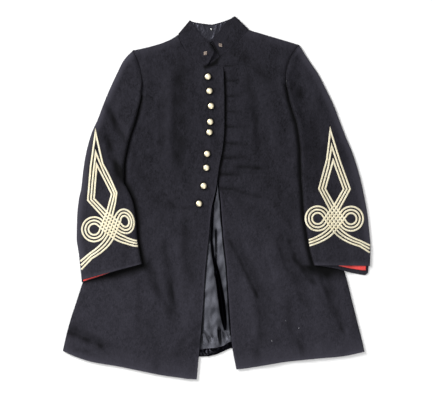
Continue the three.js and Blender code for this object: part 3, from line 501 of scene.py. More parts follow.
def braid_material():
    """Flat gold wire braid: two rows of slanting threads that meet in a chevron along its middle."""
    material, tree, shader = nodes_of(
        "gold_braid", (0.98, 0.92, 0.7), 0.5, Metallic=0.05, Specular_IOR_Level=0.5
    )
    along, across = lay_of(tree)
    off_middle = math_node(tree, "ABSOLUTE", across)
    turns = math_node(tree, "SUBTRACT", along, math_node(tree, "MULTIPLY", off_middle, 1.1))
    threads = math_node(tree, "SINE", math_node(tree, "MULTIPLY", turns, 2 * math.pi / 1.5))
    groove = spread(tree, off_middle, 0.0, 0.22)
    height = math_node(tree, "MULTIPLY", spread(tree, threads, -1, 0.6), groove)
    tarnish = spread(tree, noise(tree, 60, 3), 0.35, 0.7)
    gold = blend(tree, tarnish, (1.0, 0.99, 0.84), (1.0, 0.94, 0.72))
    # Painted shade: darker gold in the low places between the threads and along the chevron's middle.
    color_by(tree, shader, blend(tree, height, (0.84, 0.72, 0.45), gold))
    bump(tree, shader, height, 0.0004, 0.8)
    return material


def metal_material(name, color, roughness, spots):
    """A metal with spots of tarnish, darker and rougher, about this many to the metre."""
    material, tree, shader = nodes_of(name, color, roughness, Metallic=1.0)
    stain = noise(tree, spots, 4, 0.5)
    darker = tuple(value * 0.72 for value in color)
    color_by(tree, shader, blend(tree, spread(tree, stain, 0.5, 0.78), color, darker))
    dulled = spread(tree, stain, 0.35, 0.75, roughness - 0.04, roughness + 0.14)
    tree.links.new(dulled, shader.inputs["Roughness"])
    bump(tree, shader, noise(tree, 900, 2), 0.0001, 0.25)
    return material


def fibre_material(name, color, roughness, fibres, **sockets):
    """Fibres of one colour, about this many to the metre."""
    material, tree, shader = nodes_of(name, color, roughness, **sockets)
    bump(tree, shader, noise(tree, fibres, 2), 0.0002, 0.6)
    return material


WOOL = wool_material()
SATIN = satin_material("grey_satin", (0.1, 0.103, 0.122), (0.15, 0.153, 0.18), 0.3, 1, 2600)
GLOSS = satin_material("black_gloss", (0.022, 0.022, 0.028), (0.04, 0.04, 0.05), 0.34, 1, 2600, 1.0)
RED = satin_material("red_lining", (0.58, 0.022, 0.02), (0.85, 0.07, 0.06), 0.42, 0, 2200)
GOLD = braid_material()
BRASS = metal_material("polished_brass", (1.0, 0.9, 0.66), 0.5, 160)
GILT = metal_material("worn_gilding", (0.62, 0.5, 0.42), 0.36, 160)
NICKEL = metal_material("bright_nickel", (0.86, 0.86, 0.84), 0.22, 300)
THREAD = fibre_material(
    "black_silk_thread", (0.006, 0.006, 0.008), 0.75, 2500, Specular_IOR_Level=0.2
)
LINT = fibre_material("lint", (0.5, 0.5, 0.53), 0.9, 3000)

# ---------------------------------------------------------------- seams of the body
ARMHOLE = {
    "right": bent((-218, 383), (-166, 300), (-231, 189)),
    "left": bent((214, 397), (140, 315), (227, 189)),
}
NECK = {
    "right": bent((-101, 424), (-86, 366), (-25, 342)),
    "left": bent((83, 436), (30, 378), (7, 365)),
}
BACK_NECK = bent((-101, 424), (-14, 374), (83, 436))
SHOULDER = {
    "right": bent((-218, 383), (-126, 400), (-101, 424)),
    "left": bent((214, 397), (148, 417), (83, 436)),
}
ARM_ROWS = {"right": 5, "left": 6}
NECK_ROWS = 4

# Side seams, from the armpit to the hem
SIDE = {
    "right": table(["x", "y"], [
        (-231, 189), (-246, 124), (-254, 72), (-263, 20), (-283, -37), (-306, -97),
        (-327, -157), (-349, -222), (-365, -271), (-381, -320), (-392, -362), (-400, -398),
    ]),
    "left": table(["x", "y"], [
        (227, 189), (241, 124), (252, 72), (263, 20), (278, -25), (290, -60), (302, -97),
        (320, -154), (337, -210), (352, -270), (367, -330), (376, -365), (384, -400),
    ]),
}

# Front edges, from the end of the neck seam to the hem
EDGE = {
    "right": table(["x", "y"], [
        (-25, 342), (16, 340), (19, 293), (20, 241), (20, 184), (16, 135), (7, 85), (-2, 23),
        (-14, -32), (-21, -105), (-30, -188), (-36, -287), (-52, -472),
    ]),
    "left": table(["x", "y"], [
        (7, 365), (-18, 349), (-17, 310), (-10, 254), (-7, 202), (-2, 150), (1, 98), (6, 32),
        (11, -15), (17, -100), (25, -170), (30, -245), (34.5, -310), (40, -385), (51, -446),
    ]),
}

# How far each front's hem hangs below its chord, at shares of the way from the side to the edge
HEM_DROP = {
    "right": table(["share", "drop"], [
        (0, 0), (0.1, 8), (0.22, 12), (0.45, 9), (0.7, 8.5), (0.93, 3.5), (1, 0),
    ]),
    "left": table(["share", "drop"], [
        (0, 0), (0.17, 4), (0.4, 0.5), (0.63, -1.8), (0.9, 0.6), (1, 0),
    ]),
}
BACK_HEM = table(["x", "y"], [
    (-398, -396), (-300, -402), (-230, -408), (-130, -413), (-44, -413), (-20, -412), (0, -407),
    (18, -399), (34, -391), (60, -390), (130, -397), (250, -402), (382, -399),
])

# Folds of each front: first the large ones that its solid has too, then finer ones
BODY_FOLDS = {
    "right": [
        (-101, 350, -101, 130, 16, -1),
        (-140, 232, -140, 140, 9, -1.4),
        (-171, -200, -140, -262, 11, -1.8),
        (-122, -205, -117, -300, 11, -1.8),
        (-146, -215, -128, -290, 10, 0.7),
        (-375, -340, -300, -380, 14, -1.8),
        (-350, -310, -250, -352, 16, 0.7),
        (-86, -395, -46, -372, 11, -1.5),
        (-230, -240, -250, -400, 18, 0.7),
    ],
    "left": [
        (104, 228, 107, 140, 9, -1.4),
        (122, 186, 125, 150, 9, -1),
        (62, 75, 106, 75, 8, -1.2),
        (64, 6, 106, 4, 8, -1.2),
        (60, -140, 122, -250, 12, -1.8),
        (84, -140, 140, -240, 12, 0.7),
        (169, -118, 195, -192, 11, -1.6),
        (198, -122, 231, -192, 11, -1.8),
        (211, -200, 230, -262, 11, -1.5),
        (285, -214, 312, -300, 12, -1.8),
        (125, -266, 125, -330, 12, -1.4),
        (262, -230, 292, -390, 18, 0.7),
    ],
}
FINE_FOLDS = {
    "right": [
        (-95, 310, -98, 120, 15, -2.8),
        (-128, 290, -132, 130, 14, 1.2),
        (-147, 240, -147, 140, 5, -1.3),
        (-140, 7, -108, -24, 5, -1.7),
        (-108, -24, -64, -29, 5, -1.4),
        (-173, -167, -153, -235, 6, -2.2),
        (-153, -235, -132, -276, 6, -2.2),
        (-134, -136, -119, -227, 6, -2.2),
        (-119, -227, -108, -297, 6, -2.8),
        (-101, -136, -88, -266, 12, 1.5),
        (-80, -97, -72, -188, 14, -1.8),
        (-378, -352, -302, -384, 7, -3.8),
        (-372, -334, -296, -362, 10, 1.6),
        (-355, -396, -336, -402, 6, -1.2),
        (-300, -150, -262, -215, 12, -1.2),
        (-262, -215, -238, -300, 14, 1.2),
        (-199, -227, -197, -344, 8, -1.1),
        (-230, -200, -222, -330, 12, 0.9),
        (-43, -331, -96, -383, 8, -1.3),
        (-60, -250, -80, -340, 14, 1.2),
        (-170, -330, -160, -420, 12, -1.0),
        (-90, 90, -76, 40, 12, -0.9),
        (-190, 60, -150, -10, 18, -1.2),
    ],
    "left": [
        (86, 293, 102, 202, 9, -1.8),
        (102, 202, 112, 124, 8, -1.8),
        (71, 363, 133, 311, 12, -1.6),
        (118, 254, 151, 124, 16, 1.2),
        (24, 64, 139, 64, 4, -1.0),
        (62, 80, 107, 77, 4.5, -3.4),
        (30, 22, 52, 23, 4, -2.6),
        (56, 17, 107, 3, 4.5, -2.6),
        (37, -118, 63, -167, 5, -2.6),
        (63, -167, 105, -253, 5, -2.9),
        (107, -266, 120, -331, 9, -1.6),
        (120, -331, 105, -401, 9, -1.4),
        (76, -230, 92, -330, 12, 1.2),
        (157, -110, 185, -188, 5, -2.2),
        (138, -136, 164, -266, 13, 1.2),
        (190, -118, 209, -167, 5, -2.8),
        (209, -167, 239, -205, 7, -3.6),
        (206, -183, 219, -266, 6, -1.4),
        (185, -287, 196, -344, 10, -1.6),
        (196, -344, 219, -385, 9, -1.4),
        (276, -214, 300, -279, 6, -2.4),
        (300, -279, 323, -336, 6, -2.0),
        (252, -260, 262, -370, 14, 1.1),
        (330, -300, 350, -380, 12, 1.0),
        (150, 30, 200, -20, 18, -1.2),
        (70, -20, 130, -60, 12, -1.0),
        (160, -20, 190, -70, 8, -1.2),
    ],
}
SLEEVE_SHADES = {  # how wide shade is painted beside a sleeve, by height
    "right": [
        (-180, -110, -45, 20, 70, 110, 150, 190, 215, 267, 300, 345),
        (15, 12, 16, 14, 9, 5, 4, 5, 10, 9, 5, 2),
    ],
    "left": [(-180, -60, 60, 180, 260, 300, 345), (12, 10, 10, 10, 10, 6, 2)],
}
CUFF_SHADE = {"right": 32, "left": 48}  # how far the painted shade reaches past a sleeve's end
CUFF_TAPER = ((0, 0.2, 1), (0.75, 1, 0.5))  # share of that, at shares of the way across the end
LAP_SHADE = 8  # how far painted shadow reaches beside the edge of the front that laps over
DRAG_SHADE = 1.3  # how much darker the painted shade in the drag folds is than in other folds
BUTTONS = range(1, 10)
BUTTON_SHADE = 12.5  # how far from a button's middle painted shadow reaches round it
HEM_LIGHT = ((55, 0.4), (12, 0.35))  # how far from a hem light is painted, and how pale
SHOULDER_LIGHT = (30, 0.3)
EDGE_LIGHT = (7, 0.35)
PATCHES = 0.035  # how unevenly the nap of the fronts lies

BODY_DEPTH = 1.4  # the solid's folds are this much deeper in finished cloth
FINE_RELIEF = ((5, 62, 0.5), (8, 22, 0.16))  # seed, size and height of the cloth's unevenness
EDGE_SLOPE = 30  # width over which a front comes up from its edge, and from its hem
HEM_SLOPE = 40
HEM_KEEPS = 0.2  # share of its height above the hem's that a front keeps there
PUFF_OFF = 15  # how far from an armhole or a sleeve the front stands up beside it
SLEEVE_PRESS = (2.6, 6)  # how deep a sleeve presses into the front, and how wide
EDGE_LIFT = {  # how far a front's edge stands up, and from which height to which
    "right": (3.0, 345, -60),
    "left": (2.2, 100, -60),
}
CHEST = {"x": 118, "y": 215, "wide": 60, "high": 95}  # the middle and the size of the padding
LAP = {  # heights between which the lap runs out, how the upper front comes up before the hidden
    # edge, and how wide the lower one stays flat beside its edge
    "low": -6, "high": 48, "before": 14, "ramp": 14, "flat": 42, "slope": 26,
}
LAP_LOFT = EDGE_LOFT + CLOTH + LAP_GAP
HIDDEN_EDGE = line_of(EDGE["left"])
SHOWN_EDGE = line_of(EDGE["right"], 1)

# Buttonholes of the wearer's left front: height, and how long and deep the cloth drags beside each
BUTTONHOLES = table(["y", "drag", "deep"], [
    (342, 22, 0.8), (304, 30, 1.1), (263, 28, 1.0), (224, 24, 1.0), (184, 50, 1.2),
    (142, 46, 1.6), (103, 44, 1.9), (62, 40, 1.6), (23, 30, 1.9),
])
HOLE_LENGTH = 21
HOLE_HALF, HOLE_BAR = 1.15, 1.9  # half the distance of its two sides and half its end bar's length


def drag_folds():
    """Short creases that run from each buttonhole across the left front, each beside a ridge."""
    folds = []
    for k, y in enumerate(BUTTONHOLES["y"]):
        edge = across_at(SHOWN_EDGE, y)
        long, deep = BUTTONHOLES["drag"][k], BUTTONHOLES["deep"][k]
        lean = (-1) ** k * 2.5
        folds.append((edge + 3, y, edge + 8 + long, y + lean, 4.2, -deep))
        folds.append((edge + 4, y + 10, edge + long, y + 9 + lean, 6, deep * 0.8))
    return folds


DRAG_FOLDS = drag_folds()


def front_grid(side):
    """The points of a front, from its side seam to its front edge and down its rows, with how far
    each is from its borders, from the sleeve's inner fold and from the edge that laps over."""
    arm_rows = ARM_ROWS[side]
    last_row = arm_rows + len(SIDE[side]["x"]) - 1

    def joined(curve, rows, points, v):
        below = np.stack([between(points[axis], v - rows) for axis in "xy"], axis=-1)
        return np.where((v <= rows)[..., None], curve(v / rows), below)

    def side_at(v):
        return joined(ARMHOLE[side], arm_rows, SIDE[side], v)

    def edge_at(v):
        return joined(NECK[side], NECK_ROWS, EDGE[side], v)

    def plan(u, v):
        place = lerp(side_at(v), edge_at(v), u[..., None])
        start = np.zeros_like(u)
        chord = lerp(side_at(start), edge_at(start), u[..., None])
        place = place + (SHOULDER[side](u) - chord) * ease(1 - v / 2)[..., None]
        drop = look_up(HEM_DROP[side], "share", "drop", u)
        place[..., 1] -= drop * ease((v - last_row + 2) / 2)
        return place

    u, v, widths, _ = grid_between(side_at, edge_at, last_row, 4.6, 92)
    place = plan(u, v)
    x, y = place[..., 0], place[..., 1]

    sleeve = SLEEVE[side]
    below_arm = sleeve["rows"]["innerY"] < ARMHOLE[side](sleeve["fold"])[1] - 20
    inner_fold = line_of(sleeve["rows"], np.argmax(below_arm), ("innerX", "innerY"))
    return SimpleNamespace(
        place=place, x=x, y=y,
        row=v,
        beside_arm=ease((arm_rows + 0.7 - v) / 0.7),
        to_side=u * widths,
        to_edge=(1 - u) * widths,
        to_top=np.linalg.norm(place - plan(u, np.zeros_like(v)), axis=-1),
        to_hem=np.linalg.norm(place - plan(u, np.full_like(v, last_row)), axis=-1),
        to_sleeve=off_line(x, y, inner_fold),
        clear_of_sleeve=sleeve["sign"] * (across_at(inner_fold, y) - x) > 0,
        past_shown_edge=x - across_at(SHOWN_EDGE, y),
    )


def front_walls(side, grid):
    """The two faces of a front."""
    x, y, to_side, to_edge, to_hem = grid.x, grid.y, grid.to_side, grid.to_edge, grid.to_hem
    in_neck = grid.row <= NECK_ROWS
    down = roll(grid.to_top)
    off_lap = (to_edge - LAP["flat"]) / LAP["slope"]
    quiet = roll(to_side) * down * ease(off_lap)
    inward = off_lap if side == "left" else to_edge / EDGE_SLOPE
    along_arm = lerp(SEAM_HEIGHT, 1, roll(to_side, SEAM_ROLL))
    beside = lerp(roll(to_side), along_arm, grid.beside_arm)
    loft = lerp(EDGE_LOFT, BODY_LOFT, np.where(in_neck, 1, ease(inward))) * beside * down
    loft = lerp(HEM_LOFT, loft, lerp(HEM_KEEPS, 1, ease(to_hem / HEM_SLOPE)))
    if side == "right":
        past = x - across_at(HIDDEN_EDGE, y) + LAP["before"] + LAP["ramp"]
        lap = ease(past / LAP["ramp"]) * ease((y - LAP["low"]) / (LAP["high"] - LAP["low"]))
        loft = lerp(loft, np.maximum(loft, LAP_LOFT), lap)
    base = LAYER_1 + loft + fold_height(BODY_FOLDS[side], x, y) * quiet * BODY_DEPTH
    base += PUFF * hump(to_side - PUFF_OFF, 9) * grid.beside_arm * ease(grid.row / 1.5)
    lift, lift_from, lift_to = EDGE_LIFT[side]
    base += lift * hump(to_edge, 9) * ease((lift_from - y) / 30) * ease((y - lift_to) / 60)
    base += np.where(grid.clear_of_sleeve, PUFF * hump(grid.to_sleeve - PUFF_OFF, 8), 0)
    base -= SLEEVE_PRESS[0] * hump(grid.to_sleeve, SLEEVE_PRESS[1])

    calm = roll(to_side) * down * ease(to_edge / EDGE_SLOPE) * ease((to_hem + 6) / 16)
    if side == "left":
        calm = calm * ease((to_edge - 28) / 20)
    relief = fold_height(FINE_FOLDS[side], x, y)
    for seed, size, height in FINE_RELIEF:
        relief += height * ripple(x, y, seed, size)
    base += relief * calm
    hemward = near(to_hem, 30, 0.5) * ease(to_edge / 20) * roll(to_side)
    base += hemward * (1 + ripple(x, y, 3, 70))
    if side == "left":
        shown = ease(grid.past_shown_edge / 5)
        base += fold_height(DRAG_FOLDS, x, y) * shown * ease((y + 30) / 20)
    base = np.maximum(base, LAYER_1 + 0.1)
    outward = (np.abs(x) - CHEST["x"]) / CHEST["wide"]
    upward = (y - CHEST["y"]) / CHEST["high"]
    thick = CLOTH + CHEST_PADDING * np.exp(-(outward**2) - upward**2) * quiet

    free = np.maximum(free_edge(to_edge), free_edge(to_hem))
    sewn = np.maximum(seam_edge(to_side), seam_edge(grid.to_top))
    top = np.dstack([grid.place, base + thick - np.maximum(free, sewn)])
    return top, np.dstack([grid.place, base + free])


def cuff_shade(side, x, y):
    """How much shade is painted past the end of a sleeve, reaching farthest at its inner fold."""
    sleeve = SLEEVE[side]
    inner, outer = (
        (sleeve["rows"][f"{name}X"][-1], sleeve["rows"][f"{name}Y"][-1]) for name in ("inner", "outer")
    )
    run = (outer[0] - inner[0], outer[1] - inner[1])
    reach = CUFF_SHADE[side] * np.interp(along_run(x, y, inner, outer), *CUFF_TAPER)
    cross = (y - inner[1]) * run[0] - (x - inner[0]) * run[1]
    below = sleeve["sign"] * cross / math.hypot(*run)
    return ease(1.15 - off_run(x, y, inner, outer) / reach) * ease((3 - below) / 6)


# Painted shade in the hollow between the collar's ends and the fronts.
def throat_shade(x, y):
    return ease(1.2 - off_line(x, y, THROAT) / THROAT_WIDTH)


def front_painted_shading(side, grid):
    """Painted shade and light on a front: shade in its folds, beside and below the sleeve, beside the
    edge that laps over, in the hollow at the collar and round the buttons, and painted light on its
    ridges and near its borders, with uneven patches of tone."""
    x, y = grid.x, grid.y
    marks = fold_marks(FINE_FOLDS[side] + BODY_FOLDS[side], x, y)
    # Painted shade beside and below the sleeve and in the hollow at the collar.
    beside_sleeve = ease(1.3 - grid.to_sleeve / np.interp(y, *SLEEVE_SHADES[side]))
    painted_dark = [beside_sleeve, cuff_shade(side, x, y), throat_shade(x, y)]
    if side == "left":
        # Painted shade in the drag folds, and the painted shadow of the upper front's edge on this
        # one.
        drag = fold_marks(DRAG_FOLDS, x, y)[0] * ease(grid.past_shown_edge / 5)
        marks[0] = np.maximum(marks[0], DRAG_SHADE * drag)
        lapped = ease(1.35 - grid.past_shown_edge / LAP_SHADE)
        painted_dark.append(lapped * ease((335 - y) / 12) * ease((y + 12) / 10))
    else:
        # Painted shadow round each button.
        for k in BUTTONS:
            button = middle_of(f"button_{k}")[0]
            off_button = np.hypot(x - button[0], y - button[1])
            painted_dark.append(0.9 * ease((BUTTON_SHADE - off_button) / 3.5))
    painted_dark = np.maximum.reduce(painted_dark)
    # Painted light near the hem, the shoulder and the lower front edge.
    painted_pale = sum(near(grid.to_hem, *wear_and_light) for wear_and_light in HEM_LIGHT)
    painted_pale = painted_pale + near(grid.to_top, *SHOULDER_LIGHT)
    painted_pale = painted_pale + near(grid.to_edge, *EDGE_LIGHT) * ease((60 - y) / 50)
    patchy = ripple(x, y * 0.7, 63, 30, 12) + 0.8 * ripple(x, y * 0.8, 64, 12, 12)
    painted_dark = painted_dark + PATCHES * np.maximum(patchy, 0)
    painted_pale = painted_pale + PATCHES * np.maximum(-patchy, 0)
    return painted_shading_of(marks, painted_dark, painted_pale)


# ---------------------------------------------------------------- back and its linings
BACK_WIDE, BACK_LONG = 700, 900  # about its size, for distances from its borders
NECK_FROM, NECK_TO = 0.29, 0.66  # where the neck starts and ends along its upper edge
BACK_SEAMS = {  # half the distance of the side-body seams at the waist, how they spread above and
    # below it, and how wide and deep they are pressed in
    "waist": 40, "half": 150, "above": (-60, 260), "below": (70, 420), "wide": 1.1, "deep": 0.7,
}


def back_panel():
    """The back: flat on the surface below, with its centre and side-body seams pressed in."""
    sides = {}
    for side, end in (("right", 0), ("left", -1)):
        arm = ARMHOLE[side](np.linspace(0, 1, 13)[:-1])
        line = np.concatenate([arm, line_of(SIDE[side])])
        line[-1] = line_of(BACK_HEM)[end]
        far = np.concatenate([[0], np.cumsum(np.linalg.norm(np.diff(line, axis=0), axis=1))])
        sides[side] = (line, far / far[-1])

    def upper(u):
        first = SHOULDER["right"](u / NECK_FROM)
        middle = BACK_NECK((u - NECK_FROM) / (NECK_TO - NECK_FROM))
        last = SHOULDER["left"]((1 - u) / (1 - NECK_TO))
        chosen = np.where((u < NECK_FROM)[..., None], first, middle)
        return np.where((u > NECK_TO)[..., None], last, chosen)

    def lower(u):
        x = lerp(BACK_HEM["x"][0], BACK_HEM["x"][-1], u)
        return np.stack([x, np.interp(x, BACK_HEM["x"], BACK_HEM["y"])], axis=-1)

    def down(side, v):
        line, far = sides[side]
        return np.stack([np.interp(v, far, line[:, k]) for k in range(2)], axis=-1)

    v = stations([BACK_LONG], 8)
    u = columns(np.full(len(v), float(BACK_WIDE)), 96)
    v = np.repeat(v[:, None], u.shape[1], axis=1)
    a, b = u[..., None], v[..., None]
    right, left = ((upper(np.array(end)), lower(np.array(end))) for end in (0.0, 1.0))
    flat = lerp(down("right", v), down("left", v), a) + lerp(upper(u), lower(u), b)
    flat -= lerp(lerp(right[0], left[0], a), lerp(right[1], left[1], a), b)
    x, y = flat[..., 0], flat[..., 1]
    border = np.minimum(np.minimum(u, 1 - u) * BACK_WIDE, np.minimum(v, 1 - v) * BACK_LONG)
    above_waist = y - BACK_SEAMS["waist"]
    bow = BACK_SEAMS["half"]
    for name, sign in (("above", 1), ("below", -1)):
        more, reach = BACK_SEAMS[name]
        bow = bow + more * ease(sign * above_waist / reach)
    seams = np.minimum(np.abs(x), np.abs(np.abs(x) - bow))
    pressed = BACK_SEAMS["deep"] * hump(seams, BACK_SEAMS["wide"]) * ease(border / 12)
    top = np.dstack([flat, np.full(x.shape, CLOTH)])
    return top, np.dstack([flat, np.maximum(seam_edge(border), pressed)])


UNDERLAP = 34  # how far the linings are built beneath the fronts
LINING_ROWS = table(["y", "left", "right"], [
    (70, -3, 4), (23, -2, 7), (-32, -14, 13), (-105, -21, 18),
    (-188, -30, 27), (-287, -36, 33), (-340, -38, 37), (-390, -42, 40),
])
LINING_FOLDS = [
    (-1, 10, -4, -100, 7, 3.2),
    (-4, -100, 2, -196, 7, 2.6),
    (-22, -125, -18, -266, 6, 2),
    (-18, -266, -15, -372, 7, 2.4),
    (12, -70, 22, -266, 6, 2.2),
    (22, -266, 29, -366, 7, 2.6),
    (4, -300, 22, -345, 7, 1.6),
]
LINING_LOFT = 5.2  # how far the finished lining stands up in the open skirts
LINING_SHARE = 0.3  # of the solid's folds that are left in it
LINING_SLOPE = 5.0  # width over which it comes up beside the fronts
LINING_CREASES = [
    (-2, -84, -1, -140, 2.0, -2.6),
    (-1, -140, -4, -200, 1.6, -2.4),
    (10, -20, 13, -70, 2.0, -2.0),
    (6, -344, 9, -374, 3.4, -3.6),
    (14, -350, 18, -366, 2.2, -1.4),
    (-34, -352, -22, -374, 2.0, -1.4),
    (-30, -345, -12, -362, 3.0, 1.2),
    (-24, -300, -22, -340, 4.0, -0.6),
    (28, -350, 34, -366, 2.6, -1.6),
]
LINING_VALLEY = table(["y", "x", "wide"], [  # a deep pleat's middle and half its width
    (-349, 22, 0), (-342, 22, 3.6), (-325, 20, 6.4), (-300, 16.5, 8.4), (-266, 12.5, 8.8),
    (-214, 4.5, 7.2), (-180, -2, 5.5), (-150, -9.5, 3.6), (-110, -14, 3.4), (-60, -11.5, 3.4),
    (-19, -9, 3), (10, -4, 2),
])
VALLEY_SLOPE = 0.62
LINING_EDGE = 0.2  # share of the lining's width that lies beneath each front
LINING_IN = 3  # how far from a front's edge that part starts
LINING_CALM = 0.7  # rows over which its folds run out at both ends
LINING_ROW = 48  # length of its last row
FACING_DROP = 1.2  # how far below the lining the facing starts

# The lining's lower edge, which rises towards the wearer's left
LINING_HEM = table(["x", "y"], [
    (-76, -394), (-42, -393), (0, -389.5), (18, -384), (34, -373.5), (76, -371),
])


def lining_walls(x, y, base, drawn):
    return np.dstack([x, y, base + LINING - drawn]), np.dstack([x, y, base + drawn])


def back_lining():
    """The satin between the open skirts: standing up in soft folds, with one deep pleat, and painted
    dark as shade in the pleat, in the creases and beside the fronts."""
    last_row = len(LINING_ROWS["y"]) - 1
    down = stations(-np.diff(LINING_ROWS["y"]), 3.2)
    beneath = np.linspace(0, LINING_EDGE, 8)[:-1]
    u = np.concatenate([beneath, np.linspace(LINING_EDGE, 1 - LINING_EDGE, 54), 1 - beneath[::-1]])
    u = np.repeat(u[None], len(down), axis=0)
    v = np.repeat(down[:, None], u.shape[1], axis=1)
    left, right = between(LINING_ROWS["left"], v), between(LINING_ROWS["right"], v)
    inner = np.clip((u - LINING_EDGE) / (1 - 2 * LINING_EDGE), 0, 1)
    past = np.minimum(0, u - LINING_EDGE) + np.maximum(0, u - 1 + LINING_EDGE)
    x = lerp(left + LINING_IN, right - LINING_IN, inner)
    x = x + past * (UNDERLAP + LINING_IN) / LINING_EDGE
    to_hem = np.interp(x, LINING_HEM["x"], LINING_HEM["y"]) - LINING_ROWS["y"][-1]
    y = between(LINING_ROWS["y"], v) + to_hem * np.clip(v - last_row + 1, 0, 1)

    inside = np.minimum(x - left, right - x)
    shown = np.clip((inside + 1) / LINING_SLOPE, 0, 1)
    shown = shown * ease((last_row - v) / LINING_CALM) * ease(v / LINING_CALM)
    middle, wide = (np.interp(y, LINING_VALLEY["y"], LINING_VALLEY[name]) for name in ("x", "wide"))
    in_pleat = wide - np.abs(x - middle)
    height = LINING_LOFT + LINING_SHARE * fold_height(LINING_FOLDS, x, y)
    height = height + fold_height(LINING_CREASES, x, y) + 0.55 * ripple(x, y * 0.35, 11, 15)
    height -= VALLEY_SLOPE * np.maximum(0, in_pleat)
    base = LAYER_1 + np.maximum(0, height) * shown
    drawn = free_edge(np.minimum((last_row - v) * LINING_ROW, 9), LINING)

    # Painted shade on the satin: in the pleat, beside it, beside the fronts and in the creases, with
    # an uneven darkening all over.
    shades = [
        ease((in_pleat + 2) / 3.5) * ease((wide - 1) / 2),
        0.5 * hump(np.minimum(in_pleat, 0), 7) * ease((wide - 1) / 3),
        near(inside - 1, 4.5, 0.95),
        0.9 * np.clip(fold_marks(LINING_CREASES, x, y)[0], 0, 1),
        np.clip(0.22 + 0.3 * ripple(x, y * 0.5, 13, 16), 0, 0.6),
    ]
    lit = np.prod([1 - shade for shade in shades], axis=0)
    return lining_walls(x, y, base, drawn), painted_shading_of((0, 0), 1 - lit, 0)


def back_hem_facing():
    """The puckered glossy band below it, painted dark as shade except on its puckers' tops in its
    middle.
    """
    left = LINING_ROWS["left"][-1] - UNDERLAP
    right = LINING_ROWS["right"][-1] + UNDERLAP
    v, u = np.meshgrid(np.linspace(0, 1, 16), np.linspace(0, 1, 90), indexing="ij")
    x = lerp(left, right, u)
    upper = np.interp(x, LINING_HEM["x"], LINING_HEM["y"]) - FACING_DROP
    y = lerp(upper, np.interp(x, BACK_HEM["x"], BACK_HEM["y"]) + 0.5, v)
    inside = np.minimum(x - left - UNDERLAP, right - UNDERLAP - x)
    shown = ease(inside / 8) * np.sin(np.pi * v) ** 0.5
    puckers = 2.2 * np.abs(ripple(x, y * 0.6, 21, 10)) + 1.2 * np.exp(-((v - 0.55) ** 2) / 0.05)
    base = LAYER_1 + puckers * shown
    drawn = free_edge(np.minimum(v, 1 - v) * 20, LINING)
    lit = np.clip(puckers / 2.2 - 0.55, 0, 1) * ease((x + 62) / 30) * ease((8 - x) / 30)
    return lining_walls(x, y, base, drawn), painted_shading_of((0, 0), 1 - 0.9 * lit, 0)


# ---------------------------------------------------------------- collar
LOWER, UPPER = CLOTH / 2, 7.4
COLLAR_COLUMNS = ["neckX", "neckY", "topX", "topY", "neckZ", "topZ"]
MIDDLE = (LOWER + UPPER) / 2
COLLAR = {
    "right": table(COLLAR_COLUMNS, [
        (-12.3, 402.4, -12.3, 450, LOWER, LOWER + 1.4),
        (-36, 404.6, -32, 452, LOWER, LOWER + 1.2),
        (-58, 408, -48, 454.5, LOWER, LOWER + 0.6),
        (-81, 414.6, -60, 457, LOWER, LOWER),
        (-95, 421.6, -65.6, 459, LOWER, LOWER),
        (-98.4, 423.4, -67.8, 460.2, LOWER + 1.1, LOWER + 1.1),
        (-99.7, 424, -68.8, 460.6, MIDDLE, MIDDLE),
        (-98.6, 421.4, -67.6, 459, UPPER - 1.1, UPPER - 1.1),
        (-96, 411.5, -63.6, 453, UPPER, UPPER),
        (-90, 397.6, -55.5, 442.5, UPPER, UPPER + 1),
        (-74.5, 374.7, -41, 423.5, UPPER, UPPER + 2.4),
        (-52.5, 356, -18, 404.5, UPPER, UPPER + 3),
        (-38.5, 348.4, -9, 391, UPPER, UPPER + 2.6),
        (-25, 342, -4.5, 380.5, UPPER + 2, UPPER + 2),
    ]),
    "left": table(COLLAR_COLUMNS, [
        (-11.7, 402.4, -11.7, 450, LOWER, LOWER + 1.4),
        (8, 405.5, 6, 454.6, LOWER, LOWER + 1.2),
        (31, 411.6, 24, 460.5, LOWER, LOWER + 0.6),
        (58, 422.4, 38, 466.5, LOWER, LOWER),
        (78, 433, 43, 470, LOWER, LOWER),
        (81.6, 435.6, 45.2, 470.9, LOWER + 1.1, LOWER + 1.1),
        (82.9, 436.2, 46.2, 471.2, MIDDLE, MIDDLE),
        (80.9, 433.6, 45, 470.4, UPPER - 1.1, UPPER - 1.1),
        (74.5, 426.2, 38, 465.6, UPPER, UPPER),
        (58.4, 409.8, 24, 456.5, UPPER, UPPER + 1),
        (37.5, 389.3, 5.5, 431, UPPER, UPPER + 2.4),
        (20.4, 374.3, -10.5, 414.5, UPPER, UPPER + 3),
        (12.5, 369, -14, 408, UPPER + 0.6, UPPER + 3),
        (7, 365, -13.6, 404.6, UPPER + 1.2, UPPER + 3),
    ]),
}
COLLAR_HIGH = 47  # about its height, and the lengths of a row and of the last one
COLLAR_ROW = 22
COLLAR_LAST_ROW = 17
STITCHING = (5, 0.35)  # how far from the collar's borders a row of stitches is sunk, and how deep
LINING_FROM, LINING_TO = 0.04, 0.97  # the collar lining's lower and upper edge, as shares of it
COLLAR_CALM = 0.6  # how high the creases stand in it
COLLAR_CREASES = [
    (26, 44, 46, 16, 3.6, 1.7), (44, 46, 58, 14, 2.8, 1.2), (60, 44, 72, 22, 3.2, 1.5),
    (104, 44, 92, 12, 3.4, 1.6), (118, 42, 108, 18, 3.0, 1.3), (132, 40, 126, 22, 3.2, 1.4),
    (30, 18, 60, 8, 3.0, 1.1), (86, 10, 120, 16, 3.2, 1.1), (74, 40, 66, 8, 2.2, -0.5),
]


def band_point(rows, v, h):
    foot, top = (
        np.stack([between(rows[f"{end}{axis}"], v) for axis in "XYZ"], axis=-1)
        for end in ("neck", "top")
    )
    return lerp(foot, top, h[..., None])


